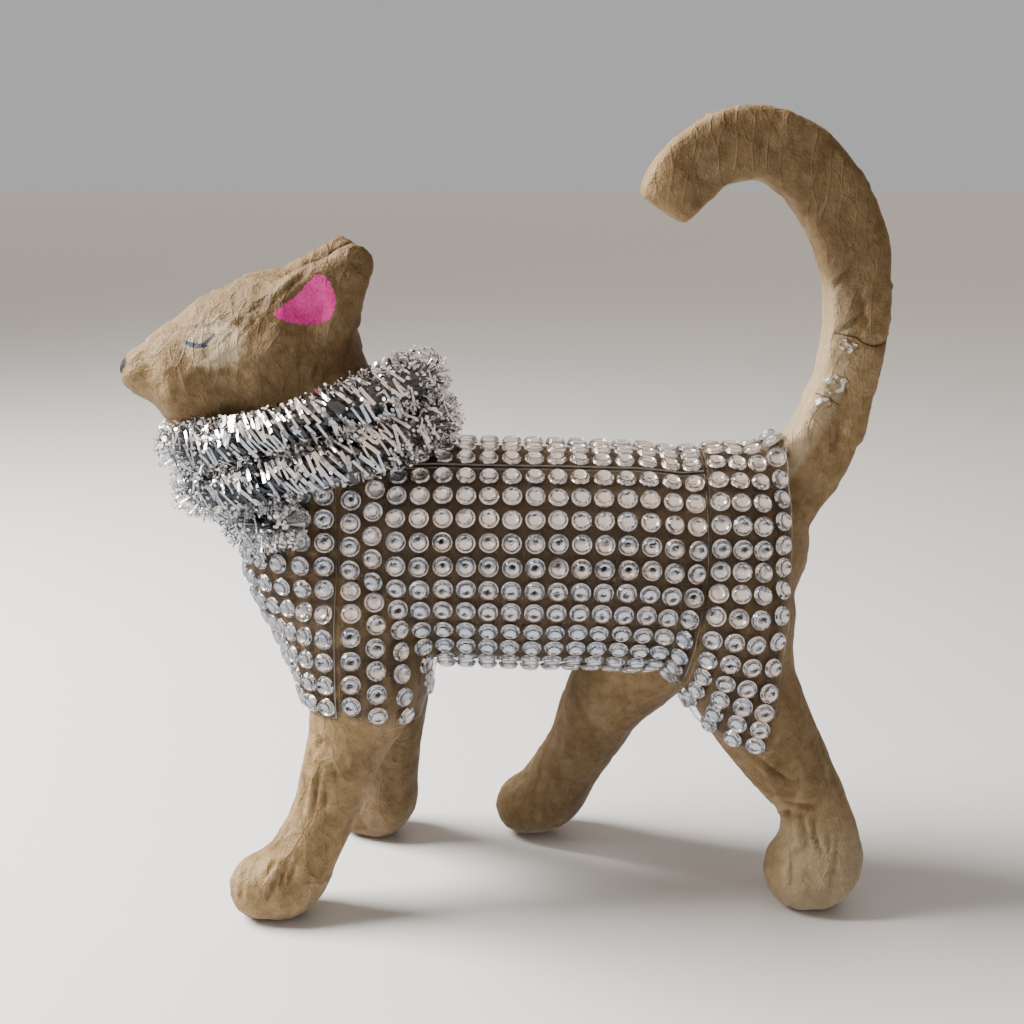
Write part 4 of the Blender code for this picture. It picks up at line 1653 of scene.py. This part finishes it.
    def wound_core(self) -> bpy.types.Object:
        """Make the core that the strips are bound into.

        Returns:
            Its object.
        """
        curve = bpy.data.curves.new("garland_core", "CURVE")
        curve.dimensions = "3D"
        curve.bevel_depth = 1.0
        curve.bevel_resolution = 3
        curve.use_fill_caps = True
        first, last = self.turns
        count = 120
        spline = curve.splines.new("POLY")
        spline.points.add(count)
        for i, point in enumerate(spline.points):
            turns = first + (last - first) * (0.01 + 0.98 * i / count)
            point.co = (*self.middle(turns), 1.0)
            taper = min(1.0, 0.35 + 8 * min(i, count - i) / count)
            point.radius = self.girth(turns) * (0.62 + 0.05 * (i % 2)) * taper
        tube = bpy.data.objects.new("garland_core", curve)
        bpy.context.scene.collection.objects.link(tube)
        graph = bpy.context.evaluated_depsgraph_get()
        graph.update()
        mesh = bpy.data.meshes.new_from_object(tube.evaluated_get(graph))
        bpy.data.objects.remove(tube)
        made = bpy.data.objects.new("garland_core", mesh)
        bpy.context.scene.collection.objects.link(made)
        store(mesh, "tone", np.full(len(mesh.vertices), 0.3))
        store(mesh, "dim", np.ones(len(mesh.vertices)))
        store(mesh, "tip", np.zeros(len(mesh.vertices)))
        return made


@dataclass(frozen=True)
class Lamp:
    """One soft square lamp that looks at the cat."""

    name: str
    place: tuple[float, float, float]
    size: float
    power: float
    colour: tuple[float, float, float] = (1.0, 1.0, 1.0)

    def build(self) -> None:
        """Hang the lamp."""
        light = bpy.data.lights.new(self.name, "AREA")
        light.size = self.size
        light.energy = self.power
        light.color = self.colour
        made = bpy.data.objects.new(self.name, light)
        made.location = self.place
        aim = Vector((0, 0, 0.08)) - made.location
        made.rotation_euler = aim.to_track_quat("-Z", "Y").to_euler()
        bpy.context.scene.collection.objects.link(made)


@dataclass
class Studio:
    """The camera, the floor and the light."""

    camera_place: tuple[float, float, float] = (0.0011, -0.302, 0.158)
    camera_pitch: float = math.radians(13.856)
    focal_pixels: float = 1460.0
    image_pixels: float = 1024.0
    sensor: float = 36.0
    lamps: tuple[Lamp, ...] = (
        Lamp("window_light", (-0.46, 0.05, 0.46), 0.34, 15.5, (1.0, 0.95, 0.88)),
        Lamp("front_fill", (-0.30, -0.50, 0.20), 0.5, 0.3, (1.0, 0.98, 0.96)))

    def build(self, floor_finish: bpy.types.Material) -> None:
        """Set up the whole studio.

        Args:
            floor_finish: The floor's material.
        """
        self.build_camera()
        for lamp in self.lamps:
            lamp.build()
        floor = mesh_object("floor", np.array([(-6, -6, 0), (6, -6, 0), (6, 6, 0), (-6, 6, 0)]),
                            [(0, 1, 2, 3)])
        floor.location.z = -0.05 * MM
        floor.data.materials.append(floor_finish)
        floor.visible_glossy = False
        floor.visible_transmission = False
        self.build_sky()

    def build_camera(self) -> None:
        """Set the camera at the photograph's angle."""
        data = bpy.data.cameras.new("camera")
        data.sensor_width = self.sensor
        data.lens = self.focal_pixels / self.image_pixels * self.sensor
        data.clip_start = 0.01
        camera = bpy.data.objects.new("camera", data)
        camera.location = self.camera_place
        camera.rotation_euler = (math.pi / 2 - self.camera_pitch, 0, 0)
        bpy.context.scene.collection.objects.link(camera)
        bpy.context.scene.camera = camera

    @staticmethod
    def build_sky() -> None:
        """Light the cat from all round: a bright ceiling, a dim room in front, a white table."""
        world = bpy.data.worlds.new("room")
        world.use_nodes = True
        w = Wiring(world.node_tree)
        background = world.node_tree.nodes["Background"]
        axes = w.node("SeparateXYZ")
        w.feed(axes.inputs[0], w.node("TexCoord").outputs["Generated"])
        x, y, z = (axes.outputs[name] for name in "XYZ")
        wall = w.mix(w.step(x, -0.6, 0.6), (0.75, 0.78, 0.84, 1.0), (1.05, 0.95, 0.85, 1.0))
        bands = w.step(w.math("SINE", w.math("MULTIPLY", x, 21.0)), 0.55, 0.75)
        dim = w.mix(bands, grey(0.20), grey(1.0))
        front = w.step(w.math("MULTIPLY", y, -1.0), 0.45, 0.70)
        wall = w.mix(front, wall, dim)
        table = w.step(w.math("MULTIPLY", z, -1.0), 0.30, 0.40)
        wall = w.mix(table, wall, (1.30, 1.32, 1.35, 1.0))
        ceiling = w.step(z, 0.12, 0.34)
        room = w.mix(ceiling, wall, (1.42, 1.14, 0.92, 1.0))
        across = w.math("DIVIDE", x, 0.44)
        upright = w.math("DIVIDE", w.math("ADD", z, 0.17), 0.34)
        off = w.math("MULTIPLY_ADD", across, across, w.math("MULTIPLY", upright, upright))
        doorway = w.math("MULTIPLY", front, w.math("SUBTRACT", 1.0, w.step(off, 0.8, 1.1)))
        room = w.mix(doorway, room, grey(0.004))
        path = w.node("LightPath")
        high = w.step(z, 0.1, 0.95)
        soft = w.mix(high, (0.06, 0.06, 0.062, 1.0), (0.55, 0.52, 0.48, 1.0))
        room = w.mix(path.outputs["Is Diffuse Ray"], room, soft)
        w.feed(background.inputs["Color"],
               w.mix(path.outputs["Is Camera Ray"], room, grey(0.62)))
        background.inputs["Strength"].default_value = 0.75
        bpy.context.scene.world = world


@dataclass
class RhinestoneCat:
    """The whole ornament."""

    nodes: dict[str, bpy.types.Object]
    effects: Effects

    def dress(self, obj: bpy.types.Object, finish: bpy.types.Material,
              replaced: Piece) -> None:
        """Give a piece its finish and its place in the frame.

        Args:
            obj: The piece.
            finish: Its material.
            replaced: The CAD node it stands for.
        """
        obj.data.materials.clear()
        obj.data.materials.append(finish)
        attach(obj, BODY)
        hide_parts(replaced.value)
        LOG.info("%s: %d faces", obj.name, len(obj.data.polygons))

    def build(self) -> None:
        """Build every piece in order, from the paper outwards."""
        head = Head()
        skin = BVHTree.FromBMesh(welded(self.nodes[Piece.CAT.value]))
        sheets = tuple(BVHTree.FromBMesh(welded(self.nodes[piece.value])) for piece in SHEETS)
        paper = KraftPaper("kraft_paper", (0.42, 0.29, 0.16, 1.0), 0.60, specular=0.22)
        cat = PaperCat(self.nodes[Piece.CAT.value], head, sheets=sheets)
        self.dress(cat.build(), paper.make(self.effects, head), Piece.CAT)
        film = ClearFilm("clear_film", (0.16, 0.125, 0.10, 1.0), 0.12,
                         specular=0.3).make(self.effects)
        stone = CutStone("clear_stone", (0.98, 0.98, 1.0, 1.0), 0.01).make(self.effects)
        # The foils' marked band is near black: painted shade round each stone.
        foil = Silvering("stone_foil", (0.90, 0.90, 0.92, 1.0), 0.05, 1.0,
                         dark=grey(0.012)).make(self.effects)
        for seed, piece in enumerate(SHEETS):
            sheet = RhinestoneSheet(self.nodes[piece.value], skin, seed)
            for obj, finish in zip(sheet.build(), (film, stone, foil)):
                self.dress(obj, finish, piece)
        garland = TinselGarland(self.nodes[Piece.GARLAND.value], skin)
        tinsel = Silvering("tinsel_foil", (0.80, 0.81, 0.84, 1.0), 0.16, 1.0, dark_share=0.12)
        foil_finish = tinsel.make(self.effects)
        for obj in garland.build():
            self.dress(obj, foil_finish, Piece.GARLAND)


def main() -> None:
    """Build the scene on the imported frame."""
    logging.basicConfig(level=logging.INFO, format="%(name)s: %(message)s")
    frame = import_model()
    effects = Effects()
    floor = PaleFloor("pale_floor", (0.84, 0.85, 0.86, 1.0), 0.45).make(effects)
    Studio().build(floor)
    RhinestoneCat(frame["nodes"], effects).build()


if __name__ == "__main__":
    main()
